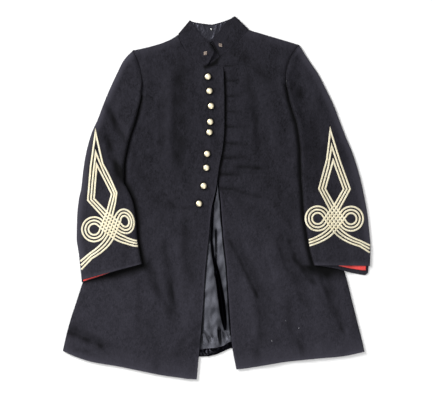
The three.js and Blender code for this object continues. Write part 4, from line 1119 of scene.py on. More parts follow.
def collar_band(rows, v, h, out, inn):
    """A band from its middle surface, its faces moved out and in along the surface's normal."""
    last, step = len(rows["neckX"]) - 1, 0.05
    after, before = np.minimum(v + step, last), np.maximum(v - step, 0)
    along = band_point(rows, after, h) - band_point(rows, before, h)
    up = band_point(rows, v, np.ones_like(h)) - band_point(rows, v, np.zeros_like(h))
    normal = np.cross(along, up)
    normal /= np.linalg.norm(normal, axis=-1, keepdims=True)
    middle = band_point(rows, v, h)
    return middle + normal * out[..., None], middle + normal * inn[..., None]


def band_grid(rows, step, from_h=0.0, to_h=1.0, count=26):
    last = len(rows["neckX"]) - 1
    ends = [line_of(rows, 0, [f"{name}{axis}" for axis in "XYZ"]) for name in ("neck", "top")]
    lengths = np.maximum(*(np.linalg.norm(np.diff(end, axis=0), axis=1) for end in ends))
    v = stations(np.maximum(lengths, 6), step)
    h = lerp(from_h, to_h, columns(np.full(len(v), float(COLLAR_HIGH)), count))
    v = np.clip(np.repeat(v[:, None], h.shape[1], axis=1), 0, last)
    return v, h


def collar_half(side):
    """One half of the stand collar, stiff, with a row of stitches along its free borders."""
    rows = COLLAR[side]
    v, h = band_grid(rows, 2.2)
    last = len(rows["neckX"]) - 1
    to_end = np.clip(last - v, 0, 1) * COLLAR_LAST_ROW
    to_top = (1 - h) * COLLAR_HIGH
    thin = np.maximum(free_edge(to_top), free_edge(to_end))
    thin = np.maximum(thin, free_edge(h * COLLAR_HIGH) * 0.6)
    half = CLOTH / 2 - thin
    sway = 0.28 * ripple(v * COLLAR_ROW, h * 60, 31 if side == "right" else 34, 38)
    relief = sway * ease((v - 7) / 2) * ease(h * 4) * ease((last - v) / 1.5)
    off, deep = STITCHING
    stitched = sum(deep * np.exp(-((border - off) ** 2) / 0.6) for border in (to_top, to_end))
    facing = 1 if side == "right" else -1
    out = facing * (half + relief - np.where(stitched > thin, stitched, 0) * ease(v - 7))
    return collar_band(rows, v, h, out, facing * (-half + relief))


def collar_lining():
    """The crumpled shiny inner face, where the neck opening shows it."""
    rows = {
        name: np.concatenate([COLLAR["right"][name][:5][::-1], COLLAR["left"][name][1:5]])
        for name in COLLAR_COLUMNS
    }
    v, h = band_grid(rows, 1.6, LINING_FROM, LINING_TO, 30)
    last = len(rows["neckX"]) - 1
    s, t = v * COLLAR_ROW, h * 46
    height = COLLAR_CALM * fold_height(COLLAR_CREASES, s, t) + 0.3 * np.abs(ripple(s, t, 41, 13))
    to_ends, to_sides = np.minimum(v, last - v), np.minimum(h - LINING_FROM, LINING_TO - h)
    height = np.maximum(0, height) * ease(np.minimum(to_ends * 6, to_sides * 12))
    inner = LOWER + SEAM
    return collar_band(rows, v, h, inner + LINING + height, inner + height * 0.9)


# ---------------------------------------------------------------- sleeves
SLEEVE_COLUMNS = ["innerX", "innerY", "outerX", "outerY"]
CUFF_COLUMNS = ["share", "x", "y"]  # how far the under sleeve shows past the top sleeve
SLEEVE = {
    "right": {
        "sign": -1,
        "fold": 0.5,
        "cuff_drop": table(CUFF_COLUMNS, [(0, 0, 0), (0.35, 0, 0), (0.7, 0, -4), (1, 0, -7)]),
        "rows": table(SLEEVE_COLUMNS, [
            (-195.4, 293, -218, 383), (-197, 261, -241, 358), (-205, 226, -262, 317),
            (-214, 192, -280, 278), (-226, 155, -296, 239), (-233, 127, -310, 202),
            (-239, 98, -324, 171), (-242, 70, -335, 135), (-242, 44, -343, 98),
            (-232, 23, -348, 62), (-219, -6, -352, 25), (-213, -32, -359, -8),
            (-209, -71, -363, -53), (-205, -110, -364, -105), (-200, -141, -359, -141),
            (-194, -171, -350, -213),
        ]),
        "folds": [
            (-283, 150, -268, 100, 8, -1.6), (-268, 100, -246, 50, 8, -2),
            (-272, 214, -247, 166, 10, -1.4), (-262, 90, -236, 60, 10, 1.2),
        ],
        "fine": [
            (-285, 155, -270, 103, 6, -3.0), (-270, 103, -241, 46, 6, -3.4),
            (-277, 220, -244, 158, 7, -3.0), (-292, 130, -276, 76, 9, 1.2),
            (-258, 220, -236, 170, 9, 1.0), (-300, 60, -262, 30, 12, -1.0),
            (-330, -20, -322, -110, 12, 0.8), (-236, 270, -262, 230, 14, 0.9),
            (-228, -130, -240, -175, 9, -0.8), (-290, -170, -296, -205, 8, 0.8),
        ],
    },
    "left": {
        "sign": 1,
        "fold": 0.45,
        "cuff_drop": table(CUFF_COLUMNS, [
            (0, 0, 0), (0.1, 0, -1.5), (0.25, 0, -4.5), (0.41, 0, -8.5),
            (0.55, 0, -14), (0.66, 0, -18.5), (0.92, -1, -24), (1, -5, -18),
        ]),
        "rows": table(SLEEVE_COLUMNS, [
            (180, 314, 214, 397), (182, 291, 242, 353), (188, 258, 263, 322),
            (197, 226, 283, 283), (208, 192, 302, 244), (213, 161, 320, 197),
            (217, 124, 335, 158), (218, 90, 349, 125), (219, 55, 362, 88), (222, 20, 375, 41),
            (224, -10, 385, -6), (227, -45, 391, -40), (233, -90, 396, -86),
            (240, -131, 399.5, -128), (252, -175, 398, -177),
        ]),
        "folds": [
            (232, 130, 300, 116, 12, -1.2), (330, -10, 352, -150, 16, 0.9),
            (250, 40, 300, 10, 14, -1),
        ],
        "fine": [
            (236, 300, 262, 230, 14, 1.0), (262, 200, 250, 120, 16, -1.1),
            (228, 60, 262, 30, 10, -1.0), (350, 60, 372, 0, 12, 0.9),
            (290, -120, 300, -170, 10, -0.8), (350, -140, 360, -172, 8, 0.8),
        ],
    },
}
RISE_START, RISE_END = 38, -8  # between which heights past its inner fold's start it comes up
CAP_GAP = -0.35  # a sleeve's cap is sewn in, just over the front's edge
INNER_PUFF = (10, 7)  # how far from its inner fold a sleeve stands up, and how wide
CAP_PUFF = (13, 8)
SLEEVE_RELIEF = ((51, 55, 0.45), (52, 20, 0.15))  # seed, size and height of its unevenness
INNER_SHADE = (3.4, 1)  # how far from its inner fold shade is painted, and how dark
CAP_SHADE = (6, 0.45)
ELBOW_SHADE = 0.8
ELBOW = {"right": (-256, 66, 16), "left": (216, 268, 9)}  # the middle and size of the shade painted at the elbow
OUTER_FOLD_LIGHT = (24, 0.75)  # how far from its outer fold light is painted, and how pale
CUFF_END_LIGHT = (14, 0.45)


def sleeve_layers(side):
    """Top and under layers, each as (top, bottom) grids, the grid's own (u, v) with its last row, and
    the shade and light painted on the top one. u runs from the inner fold to the outer one."""
    spec = SLEEVE[side]
    rows, sign = spec["rows"], spec["sign"]
    last_row = len(rows["innerX"]) - 1

    def inner_at(v):
        return np.stack([between(rows["innerX"], v), between(rows["innerY"], v)], axis=-1)

    def outer_at(v):
        return np.stack([between(rows["outerX"], v), between(rows["outerY"], v)], axis=-1)

    def cap_at(u):
        place = ARMHOLE[side](spec["fold"] * (1 - u))
        place[..., 0] += sign * CAP_GAP
        return place

    def plan(u, v):
        place = lerp(inner_at(v), outer_at(v), u[..., None])
        start = np.zeros_like(v)
        chord = lerp(inner_at(start), outer_at(start), u[..., None])
        return place + (cap_at(u) - chord) * np.clip(1 - v, 0, 1)[..., None]

    u, v, widths, last_length = grid_between(inner_at, outer_at, last_row, 4.2, 50)
    drop = np.dstack([look_up(spec["cuff_drop"], "share", axis, u) for axis in "xy"])
    flat = plan(u, v)
    under_flat = flat + drop * np.clip(v - last_row + 1, 0, 1)[..., None]

    body_line = np.concatenate([ARMHOLE[side](np.linspace(0, 1, 11)), line_of(SIDE[side], 1)])
    fold_y = ARMHOLE[side](spec["fold"])[1]

    def rise(place):
        x, y = place[..., 0], place[..., 1]
        outside = sign * (x - across_at(body_line, y))
        over = ease((RISE_OUT - outside) / (RISE_OUT + RISE_IN))
        past = ease((fold_y + RISE_START - y) / (RISE_START - RISE_END))
        return SLEEVE_RISE * over * past

    x, y = flat[..., 0], flat[..., 1]
    to_inner, to_outer = u * widths, (1 - u) * widths
    border = np.minimum(to_inner, to_outer)
    to_cap = np.linalg.norm(flat - cap_at(u), axis=-1)
    to_end = (last_row - v) * last_length
    closed = np.minimum(roll(to_inner, SEAM_ROLL), roll(to_outer))
    closed = np.minimum(closed, lerp(SEAM_HEIGHT, 1, roll(to_cap, SEAM_ROLL)))
    loft = SLEEVE_LOFT * closed + fold_height(spec["folds"], x, y) * closed * BODY_DEPTH
    puffed = np.maximum(
        hump(to_inner - INNER_PUFF[0], INNER_PUFF[1]), hump(to_cap - CAP_PUFF[0], CAP_PUFF[1])
    )
    loft += PUFF * puffed * ease(to_end / 40 + 0.4)
    loft = np.maximum(loft, CUFF_LOFT * ease((v - last_row + 2) / 2))
    relief = fold_height(spec["fine"], x, y)
    for seed, size, height in SLEEVE_RELIEF:
        relief += height * ripple(x, y, seed, size)
    loft += relief * roll(border) * roll(to_cap) * ease(to_end / 25 + 0.3)
    loft = np.maximum(loft, 0)

    sewn = np.maximum(seam_edge(border), seam_edge(to_cap))
    ended = free_edge(to_end)
    inside, outside = np.where(ended > sewn, ended, 0), np.maximum(sewn, ended)
    upper, lower = rise(flat) + CLOTH + SEAM + loft, rise(under_flat)
    top = np.dstack([flat, upper + CLOTH - outside]), np.dstack([flat, upper + inside])
    under = (
        np.dstack([under_flat, lower + CLOTH - inside]), np.dstack([under_flat, lower + outside])
    )

    elbow_x, elbow_y, elbow_size = ELBOW[side]
    # Painted shade at the inner fold, along the cap's seam and at the elbow; painted light near the
    # outer fold and at the cuff's end.
    painted_dark = near(to_inner, *INNER_SHADE) + near(to_cap, *CAP_SHADE)
    painted_dark += ELBOW_SHADE * hump(np.hypot(x - elbow_x, (y - elbow_y) / 1.6), elbow_size)
    painted_pale = near(to_outer, *OUTER_FOLD_LIGHT) * ease(to_end / 60) + near(to_end, *CUFF_END_LIGHT)
    marks = fold_marks(spec["folds"] + spec["fine"], x, y)
    return top, under, (u, v, last_row), painted_shading_of(marks, painted_dark, painted_pale)


CUFF_DEPTH = 1.5  # rows of the sleeve that the lining goes up inside it
ROW_LENGTH = 44  # of those rows
CUFF_LINING_IN = {"right": (1, 3), "left": (4.6, 9)}  # from the cuff's end and its outer fold
PLEATS = (368, 388, 4.4, 2.0)  # from where to where the left one is gathered, how close and high


def cuff_lining(side, under, grid):
    """The red lining in the mouth of a cuff, on the under sleeve's own points, moved out."""
    u, v, last_row = grid
    end_in, fold_in = CUFF_LINING_IN[side]
    to_end = (last_row - v[:, 0]) * ROW_LENGTH
    rows = (v[:, 0] > last_row - CUFF_DEPTH) & (to_end > end_in)
    width = np.linalg.norm(under[0][-1, 0, :2] - under[0][-1, -1, :2])
    across = (u[-1] * width > 3) & ((1 - u[-1]) * width > fold_in)
    base = under[0][rows][:, across].copy()
    x = base[..., 0]
    shown = ease((v[rows][:, across] - last_row + 0.7) / 0.4)
    height = 0.25 * (1 + ripple(x, base[..., 1], 61, 12)) * shown
    if side == "left":
        low, high, pitch, rise = PLEATS
        gathered = ease((x - low) / 5) * ease((high + 5 - x) / 5)
        height += (0.5 + 0.5 * np.sin(x * 2 * math.pi / pitch)) * rise * gathered * shown
    drawn = free_edge(np.maximum(to_end[rows, None] - end_in, 0), CUFF_LINING)
    top, bottom = base.copy(), base.copy()
    top[..., 2] += SEAM + CUFF_LINING + height - drawn
    bottom[..., 2] += SEAM + height * 0.8 + drawn
    return top, bottom


# ---------------------------------------------------------------- braid knots
BRAID = {  # a strand's size, the rows' pitch, the rings, and where the pointed loop's legs start
    "width": 4.7, "thick": 1.7, "pitch": 8.3, "ringX": 43.5, "ringR": 14.5, "ringStep": 8.5,
    "shoulderX": 24, "shoulderStep": 8.2, "shoulderY": 77,
}
SLANT = (0.8, 0.6)  # of the plait's rows
RING_FROM = 146  # where a ring starts and ends, in degrees above and below its outer side
SWING = (20, -24)  # from the plait to the bend of a tail
BRAID_STEP = 1.4  # along a strand
BRAID_OFF, BRAID_SUNK = 0.12, 0.35  # how far it lies off the sleeve and how deep its sides go
WEAVE = 0.95  # how far a strand rises over the one that it crosses
TAILS = table(["midX", "midY", "endX", "endY"], [
    (68, -57, 104, -74), (68, -64, 104, -84), (68, -71.5, 104, -94),
])

# Each knot's place and turn on its sleeve, and the three peaks of its pointed loop, inner first,
# with how far the loop's two legs are drawn in halfway up. Past "from", where the sleeve curves
# away, it is narrower.
PEAK_COLUMNS = ["x", "y", "inLeft", "inRight"]
KNOT = {
    "right": {
        "x": -276, "y": -71, "turn": 14.5, "from": 28, "squeeze": 0.74,
        "peaks": table(PEAK_COLUMNS, [(5, 161, 0, 0), (10.5, 192, -1, 3), (22.8, 242.5, -2.5, 11)]),
    },
    "left": {
        "x": 305, "y": -54, "turn": -0.5, "from": 200, "squeeze": 1,
        "peaks": table(PEAK_COLUMNS, [(-4, 151, 0, 0), (-8, 188, 3, 1), (-12, 229, 6, 2)]),
    },
}
SECTION = [  # half of a strand's rounded section: share of its half width, share of its height
    (-1, 0.05), (-0.96, 0.42), (-0.78, 0.8), (-0.42, 1), (0, 0.9),
    (0.42, 1), (0.78, 0.8), (0.96, 0.42), (1, 0.05),
]
SHARP = 0.35  # a strand is folded to a mitre where it turns by more than this, in radians
MITRE = 4.9  # the longest mitre, as a share of half the strand's width


def strand_paths(peaks):
    """One knot's three strands in its own frame, each from tail to tail in one piece."""
    pitch, ring_x = BRAID["pitch"], BRAID["ringX"]
    outermost = 2.5 * pitch

    def crossing(falling, rising):
        return [(falling - rising) / (2 * SLANT[0]), (falling + rising) / (2 * SLANT[1])]

    def arc(radius, start, end, count=18):
        angles = np.radians(np.linspace(start, end, count))
        return np.stack([ring_x + radius * np.cos(angles), radius * np.sin(angles)], axis=1)

    paths = []
    for j in range(3):
        corner = [BRAID["shoulderX"] + BRAID["shoulderStep"] * j, BRAID["shoulderY"]]
        peak = [peaks["x"][j], peaks["y"][j]]
        radius = BRAID["ringR"] + BRAID["ringStep"] * j
        upper, lower = outermost - pitch * j, -outermost + pitch * j
        tail = {name: column[2 - j] for name, column in TAILS.items()}
        leaves = crossing(lower, -outermost)
        control = (leaves[0] + SWING[0], leaves[1] + SWING[1])
        swing = bent(leaves, control, (tail["midX"], tail["midY"]))
        under = np.concatenate([
            [[tail["endX"], tail["endY"]]], swing(np.linspace(1, 0, 9)), [crossing(lower, outermost)],
        ]) * (-1, 1)
        ring = np.concatenate([arc(radius, RING_FROM, 0), arc(radius, 360, 360 - RING_FROM)[1:]])
        over = [crossing(upper, -outermost), crossing(upper, outermost), [-corner[0], corner[1]]]
        half = np.concatenate([under, ring, over])
        legs = []
        for sign, inward in ((-1, peaks["inLeft"][j]), (1, peaks["inRight"][j])):
            legs.append([(sign * corner[0] + peak[0]) / 2 - sign * inward, (corner[1] + peak[1]) / 2])
        paths.append(np.concatenate([half, [legs[0], peak, legs[1]], half[::-1] * (-1, 1)]))
    return paths


def stepped(path, step, placed):
    """Stations along a path: their places in its own frame and as placed, the way that it runs
    there, how far along they are, and how far a ring is skewed to mitre a sharp turn."""
    lengths = np.linalg.norm(np.diff(path, axis=0), axis=1)
    runs = np.diff(placed(path), axis=0)
    angles = np.arctan2(runs[:, 1], runs[:, 0])
    turns = (np.diff(angles) + math.pi) % (2 * math.pi) - math.pi
    ends = [0] + [k + 1 for k, turn in enumerate(turns) if abs(turn) > SHARP] + [len(path) - 1]
    parts, start = [], 0.0
    for first, last in zip(ends, ends[1:]):
        far = np.concatenate([[0], np.cumsum(lengths[first:last])])
        even = np.linspace(0, far[-1], max(int(far[-1] / step), 4) + 1)
        own = np.stack([np.interp(even, far, path[first:last + 1, k]) for k in range(2)], axis=1)
        for _ in range(2):
            own[1:-1] = (own[:-2] + 2 * own[1:-1] + own[2:]) / 4
        points = placed(own)
        way = np.gradient(points, axis=0)
        way /= np.linalg.norm(way, axis=1, keepdims=True)
        skew = np.zeros(len(even))
        for end, sign, away in ((first, 1, even), (last, -1, far[-1] - even)):
            if 0 < end < len(path) - 1:
                slant = np.clip(math.tan(turns[end - 1] / 2), -MITRE, MITRE)
                reach = max(3, 0.75 * abs(slant) * BRAID["width"])
                skew += sign * slant * np.clip(1 - away / reach, 0, 1)
        kept = slice(0, None if last == ends[-1] else -1)
        parts.append([column[kept] for column in (own, points, way, even + start, skew)])
        start += far[-1]
    return [np.concatenate(column) for column in zip(*parts)]


def weave_height(path):
    """Over and under in the plaited diamond: +1 where a strand passes over, -1 where under."""
    x, y = path[:, 0], path[:, 1]
    pitch = BRAID["pitch"]
    falling, rising = SLANT[0] * x + SLANT[1] * y, -SLANT[0] * x + SLANT[1] * y
    inside = ease((3.3 * pitch - np.maximum(np.abs(falling), np.abs(rising))) / (0.6 * pitch))
    run = np.gradient(path, axis=0)
    over, up = SLANT[0] * run[:, 0], SLANT[1] * run[:, 1]
    goes_falling = np.abs(over + up) < np.abs(up - over)
    own = np.where(goes_falling, falling, rising)
    other = np.where(goes_falling, rising, falling)
    lane = np.round(own / pitch - 0.5)
    phase = np.cos(math.pi * (other / pitch - 0.5)) * np.where(lane % 2 == 0, 1, -1)
    return phase * np.where(goes_falling, 1, -1) * inside


def braid_knot(side, surface, within):
    """All strands of a knot, each a flat rounded cord lying on the sleeve. Its lay is how far along
    a strand and how far off its middle a point is."""
    knot = KNOT[side]
    parts, lays = [], []
    half_width, thick = BRAID["width"] / 2, BRAID["thick"]

    def on_sleeve(points):
        x = points[:, 0] - np.maximum(0, points[:, 0] - knot["from"]) * (1 - knot["squeeze"])
        return np.stack(turned_by(x, points[:, 1], knot["turn"]), axis=1) + (knot["x"], knot["y"])

    shares = [share for share, _ in SECTION] + [1, -1]
    for path in strand_paths(knot["peaks"]):
        points, placed, way, along, skew = stepped(path, BRAID_STEP, on_sleeve)
        lift = weave_height(points) * WEAVE
        across = np.stack([-way[:, 1], way[:, 0]], axis=1) + way * skew[:, None]
        for keep in within(placed):
            rings = []
            for k in keep:
                ring = []
                for share, height in SECTION:
                    spot = placed[k] + across[k] * share * half_width
                    base = surface.height(*spot)
                    if base is None:
                        base = surface.height(*placed[k]) - 1.5 * abs(share)
                    up = max(height * thick + lift[k] * (1 if height > 0.1 else 0.8), height * 0.5)
                    ring.append([*spot, base + BRAID_OFF + up])
                for x, y, z in (ring[-1], ring[0]):
                    ring.append([x, y, z - BRAID_SUNK])
                rings.append(ring)
            parts.append((np.array(rings).reshape(-1, 3), tube_faces(len(rings), len(shares))))
            lays += [(along[k], share * half_width) for k in keep for share in shares]
    points, faces = join(parts)
    return points, outward_faces(points, faces), np.array(lays)


def within_sleeve(top, reach):
    """A test that splits a placed path into its stretches inside the sleeve's folds."""
    inner, outer = top[:, 0, :2], top[:, -1, :2]

    def fold_at(line, y):
        order = np.argsort(line[:, 1])
        return np.interp(y, line[order, 1], line[order, 0])

    def stretches(placed):
        left, right = fold_at(inner, placed[:, 1]), fold_at(outer, placed[:, 1])
        low, high = np.minimum(left, right) + reach, np.maximum(left, right) - reach
        inside = (placed[:, 0] > low) & (placed[:, 0] < high)
        runs, run = [], []
        for k, is_in in enumerate(inside):
            if is_in:
                run.append(k)
            elif run:
                runs.append(run)
                run = []
        if run:
            runs.append(run)
        return [run for run in runs if len(run) > 3]

    return stretches


# ---------------------------------------------------------------- buttons and small trim
def turned(profile, sides):
    """A solid of revolution from (radius, height) points that start and end on the axis."""
    points, rings = [], []
    for radius, height in profile:
        if radius == 0:
            rings.append([len(points)])
            points.append((0, 0, height))
            continue
        rings.append(list(range(len(points), len(points) + sides)))
        for k in range(sides):
            angle = 2 * math.pi * k / sides
            points.append((radius * math.cos(angle), radius * math.sin(angle), height))
    faces = []
    for first, second in zip(rings, rings[1:]):
        for k in range(sides):
            n = (k + 1) % sides
            face = [first[k % len(first)], first[n % len(first)]]
            face += [second[n % len(second)], second[k % len(second)]]
            faces.append(list(dict.fromkeys(face)))
    return np.array(points, float), faces


BUTTON_BACK = [  # (radius, height) from the shank to the rolled seam below the widest part
    (0, -1.2), (2.3, -1.2), (2.3, 1.0), (5.6, 1.25), (7.0, 1.7), (7.75, 2.0), (7.9, 2.35),
    (7.6, 2.5), (7.85, 2.7),
]
DOME = {"radius": 7.95, "from": 3.6, "high": 4.4, "flatness": 0.78}


def button_form():
    """A plain ball button."""
    angles = np.linspace(0, math.pi / 2, 13)[:-1]
    wide = DOME["radius"] * np.cos(angles) ** DOME["flatness"]
    high = DOME["from"] + DOME["high"] * np.sin(angles) ** DOME["flatness"]
    dome = zip(wide, high)
    points, faces = turned([*BUTTON_BACK, *dome, (0, DOME["from"] + DOME["high"])], 48)
    return points, outward_faces(points, faces)


def middle_of(name):
    """The middle and the low and high corners of a solid's box."""
    low, high = (np.array(corner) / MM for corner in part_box(name))
    return (low + high) / 2, low, high


def buttons():
    points, faces = button_form()
    for k in BUTTONS:
        middle, low, _ = middle_of(f"button_{k}")
        moved = points + (middle[0], middle[1], low[2])
        make(f"ball_button_{k}", moved, faces, BRASS, "brass", [f"button_{k}"])


PINS = {"right": (10, 13, -38), "left": (10, 12.5, 40)}  # width, height and turn
PIN_RINGS = (  # share of its size and height of each ring of a pin: rim, sunk ground, boss
    (1, 0.0), (1, 0.8), (0.92, 1.3), (0.76, 1.3), (0.68, 0.7), (0.4, 0.7), (0.32, 1.2), (0.15, 1.5),
)
PIN_GROUND = 4  # the ring where the sunk ground starts
PIN_ROUND = ((1, 0), (0.5, 0.5), (0, 1), (-0.5, 0.5), (-1, 0), (-0.5, -0.5), (0, -1), (0.5, -0.5))


def collar_pins():
    """A plain lozenge at each collar end, with a raised rim round a dark ground and a small boss."""
    count, sides = len(PIN_RINGS), len(PIN_ROUND)
    last, apex = (count - 1) * sides, count * sides
    faces = [list(range(sides))[::-1], *ring_faces(count, sides)]
    faces += [[last + j, last + (j + 1) % sides, apex] for j in range(sides)]
    dark = [k > 0 and (k - 1) // sides == PIN_GROUND for k in range(len(faces))]
    for side, (width, height, turn) in PINS.items():
        middle, low, _ = middle_of(f"collar_pin_{side}")
        rings = [
            (a * share * width / 2, b * share * height / 2, lift)
            for share, lift in PIN_RINGS for a, b in PIN_ROUND
        ]
        flat = np.array([*rings, (0, 0, PIN_RINGS[-1][1])])
        x, y = turned_by(flat[:, 0], flat[:, 1], turn)
        x, y = x + middle[0], y + middle[1]
        found = [COLLAR_SURFACES[side].height(a, b) for a, b in zip(x, y)]
        heights = np.array([low[2] if height is None else height for height in found])
        points = np.stack([x, y, flat[:, 2] + heights + 0.1], axis=1)
        outward = outward_faces(points, faces)
        piece = make(f"lozenge_pin_{side}", points, outward, GILT, "brass", [f"collar_pin_{side}"])
        piece.data.materials.append(THREAD)
        piece.data.polygons.foreach_set("use_smooth", [False] * len(faces))
        piece.data.polygons.foreach_set("material_index", [int(is_dark) for is_dark in dark])


STUD = {"radius": 2.1, "rim": 0.7}
WHIPPING = {"radius": 3.2, "thick": 0.85, "turns": 24, "deep": 0.12, "high": 0.8}


def eyelet():
    """A small nickel stud in a worked eyelet."""
    middle, low, high = middle_of("collar_eyelet")
    place = (middle[0], middle[1], low[2])
    angles = np.linspace(0, 2 * math.pi, 97)
    radii = WHIPPING["radius"] + WHIPPING["deep"] * np.sin(WHIPPING["turns"] * angles)
    level = np.full(angles.shape, WHIPPING["high"])
    whipped = np.stack([radii * np.cos(angles), radii * np.sin(angles), level], axis=1)
    ring, faces = thread_tube(whipped + place, WHIPPING["thick"], 8)
    make("eyelet_whipping", ring, faces, THREAD, "gloss_lining")
    radius, rim, top = STUD["radius"], STUD["rim"], high[2] - low[2]
    rise = np.linspace(0, math.pi / 2, 8)[:-1]
    dome = zip(radius * np.cos(rise), rim + (top - rim) * np.sin(rise))
    points, faces = turned([(0, 0), (radius, 0), *dome, (0, top)], 28)
    faces = outward_faces(points, faces)
    make("collar_stud", points + place, faces, NICKEL, "nickel", ["collar_eyelet"])


def thread_tube(path, radius, sides=6):
    """A thin closed tube of thread along 3-D points."""
    path = np.asarray(path, float)
    run = np.gradient(path, axis=0)
    run /= np.linalg.norm(run, axis=1, keepdims=True)
    side = np.cross(run, (0, 0, 1.0))
    side /= np.maximum(np.linalg.norm(side, axis=1, keepdims=True), 1e-9)
    up = np.cross(side, run)
    points = []
    for k, place in enumerate(path):
        for j in range(sides):
            angle = 2 * math.pi * j / sides
            points.append(place + radius * (side[k] * math.cos(angle) + up[k] * math.sin(angle)))
    points = np.array(points)
    return points, outward_faces(points, tube_faces(len(path), sides))


def buttonholes(surface):
    """Worked buttonholes: a whipped thread edge round a slit, laid on the left front."""
    parts = []

    def sewn(places, radius, off):
        path = [(x, y, surface.height(x, y) + off + more) for x, y, more in places]
        parts.append(thread_tube(path, radius))

    for y in BUTTONHOLES["y"]:
        start = max(float(across_at(SHOWN_EDGE, y)) + 2.5, float(across_at(HIDDEN_EDGE, y)) + 10)
        end = start + HOLE_LENGTH
        for offset in (-HOLE_HALF, HOLE_HALF):
            along = np.linspace(start, end, 90)
            wraps = 0.12 * np.sin(along * 2 * math.pi / 1.1)
            sewn([(x, y + offset, wrap) for x, wrap in zip(along, wraps)], 0.5, 0.3)
        sewn([(end, y + t, 0) for t in np.linspace(-HOLE_BAR, HOLE_BAR, 9)], 0.75, 0.45)
    points, faces = join(parts)
    make("worked_buttonholes", points, faces, THREAD, "wool")


LINT_PLACES = table(["x", "y", "size"], [
    (213.4, -338.4, 3.4), (142.4, -371.4, 3.2), (178.8, -319.3, 2.2),
])


def lint(surfaces):
    """A few bright fibres that lie on the skirts."""
    rng = np.random.default_rng(71)
    parts = []
    for x, y, size in zip(*LINT_PLACES.values()):
        fibres, thick = (4, 0.15) if size > 3 else (2, 0.09)
        for _ in range(fibres):
            angle, curl = rng.uniform(0, 2 * math.pi, 2)
            path = []
            for t in np.linspace(-0.5, 0.5, 9):
                px = x + size * t * math.cos(angle) + 0.5 * math.sin(5 * t + curl)
                py = y + size * t * math.sin(angle) + 0.5 * math.cos(6 * t + curl)
                height = surfaces["right" if px < 0 else "left"].height(px, py)
                path.append((px, py, height + 0.35 + 0.2 * math.cos(4 * t + curl)))
            parts.append(thread_tube(path, thick, 5))
    points, faces = join(parts)
    make("lint_specks", points, faces, LINT, "wool")


# ---------------------------------------------------------------- the garment
def cloth(name, walls, look, replaces, painted_shading=None):
    """A closed sheet of cloth from its two grids. Both of its faces carry the two values of its
    painted shade and light, dark and pale."""
    points, faces = closed_wall(*walls)
    lay = None if painted_shading is None else np.tile(painted_shading.reshape(-1, 2), (2, 1))
    piece = make(name, points, faces, *look, [replaces], lay)


WOOLLEN = (WOOL, "wool")
SHINY = (GLOSS, "gloss_lining")
FRONT_TOPS, COLLAR_SURFACES = {}, {}

cloth("back_cloth", back_panel(), WOOLLEN, "back")
walls, painted_shading = back_lining()
satin = (SATIN, "lining")
cloth("back_lining_satin", walls, satin, "back_lining", painted_shading)
walls, painted_shading = back_hem_facing()
cloth(
    "back_hem_facing_gloss", walls, SHINY, "back_hem_facing", painted_shading
)
for side in ("right", "left"):
    front, collar, under_sleeve, top_sleeve, cuff = (
        f"{name}_{side}" for name in ("front", "collar", "under_sleeve", "top_sleeve", "cuff_lining")
    )
    grid = front_grid(side)
    walls = front_walls(side, grid)
    FRONT_TOPS[side] = Surface(walls[0])
    painted_shading = front_painted_shading(side, grid)
    cloth(f"{front}_cloth", walls, WOOLLEN, front, painted_shading)

    walls = collar_half(side)
    COLLAR_SURFACES[side] = Surface(walls[0])
    # Painted shade in the hollow where the collar's ends meet the fronts.
    painted_shading = painted_shading_of((0, 0), throat_shade(walls[0][..., 0], walls[0][..., 1]), 0)
    cloth(f"{collar}_cloth", walls, WOOLLEN, collar, painted_shading)

    top, under, grid, painted_shading = sleeve_layers(side)
    cloth(f"{under_sleeve}_cloth", under, WOOLLEN, under_sleeve)
    cloth(f"{top_sleeve}_cloth", top, WOOLLEN, top_sleeve, painted_shading)
    walls = cuff_lining(side, under, grid)
    cloth(f"{cuff}_red", walls, (RED, "red_lining"), cuff)
    knot, faces, lay = braid_knot(side, Surface(top[0]), within_sleeve(top[0], 1.2))
    make(f"braid_knot_{side}", knot, faces, GOLD, "braid", [f"braid_{side}"], lay)
cloth(
    "collar_lining_gloss", collar_lining(), SHINY, "collar_lining",
)
buttons()
collar_pins()
eyelet()
buttonholes(FRONT_TOPS["left"])
lint(FRONT_TOPS)


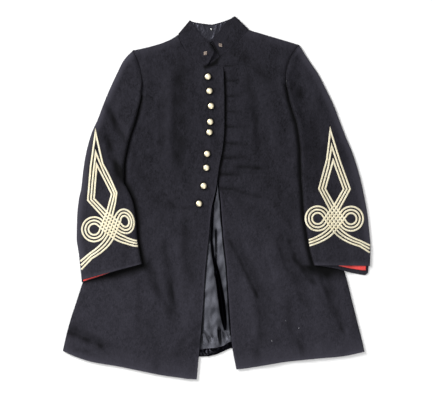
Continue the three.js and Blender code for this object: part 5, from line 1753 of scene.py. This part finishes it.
# ---------------------------------------------------------------- floor, light and camera
FLOOR_REACH, FLOOR_LEVEL = 6, -0.0008  # metres
AIR = 0.15  # strength of the even light from all around
SOFTBOXES = {  # place and size in metres, and radiance
    "overhead": ((0, 0, 5.4), 6.0, 1.1),
    "key": ((-2.0, 1.5, 1.9), 1.4, 19.0),
    "hem_side": ((0.5, -2.2, 1.5), 1.2, 5.0),
}


def floor():
    material, tree, shader = nodes_of("pale_floor", (0.93, 0.93, 0.93), 0.9, Specular_IOR_Level=0.2)
    color_by(tree, shader, blend(tree, noise(tree, 3, 2), (0.925,) * 3, (0.935,) * 3))
    mesh = bpy.data.meshes.new("floor")
    corners = ((-1, -1), (1, -1), (1, 1), (-1, 1))
    points = [(a * FLOOR_REACH, b * FLOOR_REACH, FLOOR_LEVEL) for a, b in corners]
    mesh.from_pydata(points, [], [(0, 1, 2, 3)])
    mesh.materials.append(material)
    plane = bpy.data.objects.new("floor", mesh)
    bpy.context.scene.collection.objects.link(plane)


def softbox(name, place, size, radiance):
    """A square area light of a given radiance, aimed at the middle of the garment."""
    light = bpy.data.lights.new(name, "AREA")
    light.shape = "SQUARE"
    light.size = size
    light.energy = radiance * math.pi * size * size
    lamp = bpy.data.objects.new(name, light)
    lamp.location = place
    lamp.rotation_mode = "QUATERNION"
    lamp.rotation_quaternion = (Vector() - Vector(place)).to_track_quat("-Z", "Y")
    bpy.context.scene.collection.objects.link(lamp)


def lighting():
    world = bpy.data.worlds.new("studio")
    world.use_nodes = True
    background = world.node_tree.nodes["Background"]
    background.inputs["Color"].default_value = (1, 1, 1, 1)
    background.inputs["Strength"].default_value = AIR
    bpy.context.scene.world = world
    for name, settings in SOFTBOXES.items():
        softbox(name, *settings)


VIEW_WIDTH = 1.1232  # metres of floor across the frame
VIEW_MIDDLE = (-0.00195, -0.00585)
LENS = 150.0
SENSOR = 36.0


def camera():
    data = bpy.data.cameras.new("straight_down")
    data.lens = LENS
    data.sensor_width = SENSOR
    data.clip_end = 50
    eye = bpy.data.objects.new("straight_down", data)
    eye.location = (*VIEW_MIDDLE, VIEW_WIDTH * LENS / SENSOR)
    bpy.context.scene.collection.objects.link(eye)
    bpy.context.scene.camera = eye


floor()
lighting()
camera()
bpy.context.scene.view_settings.view_transform = "Standard"

bpy.context.view_layer.update()
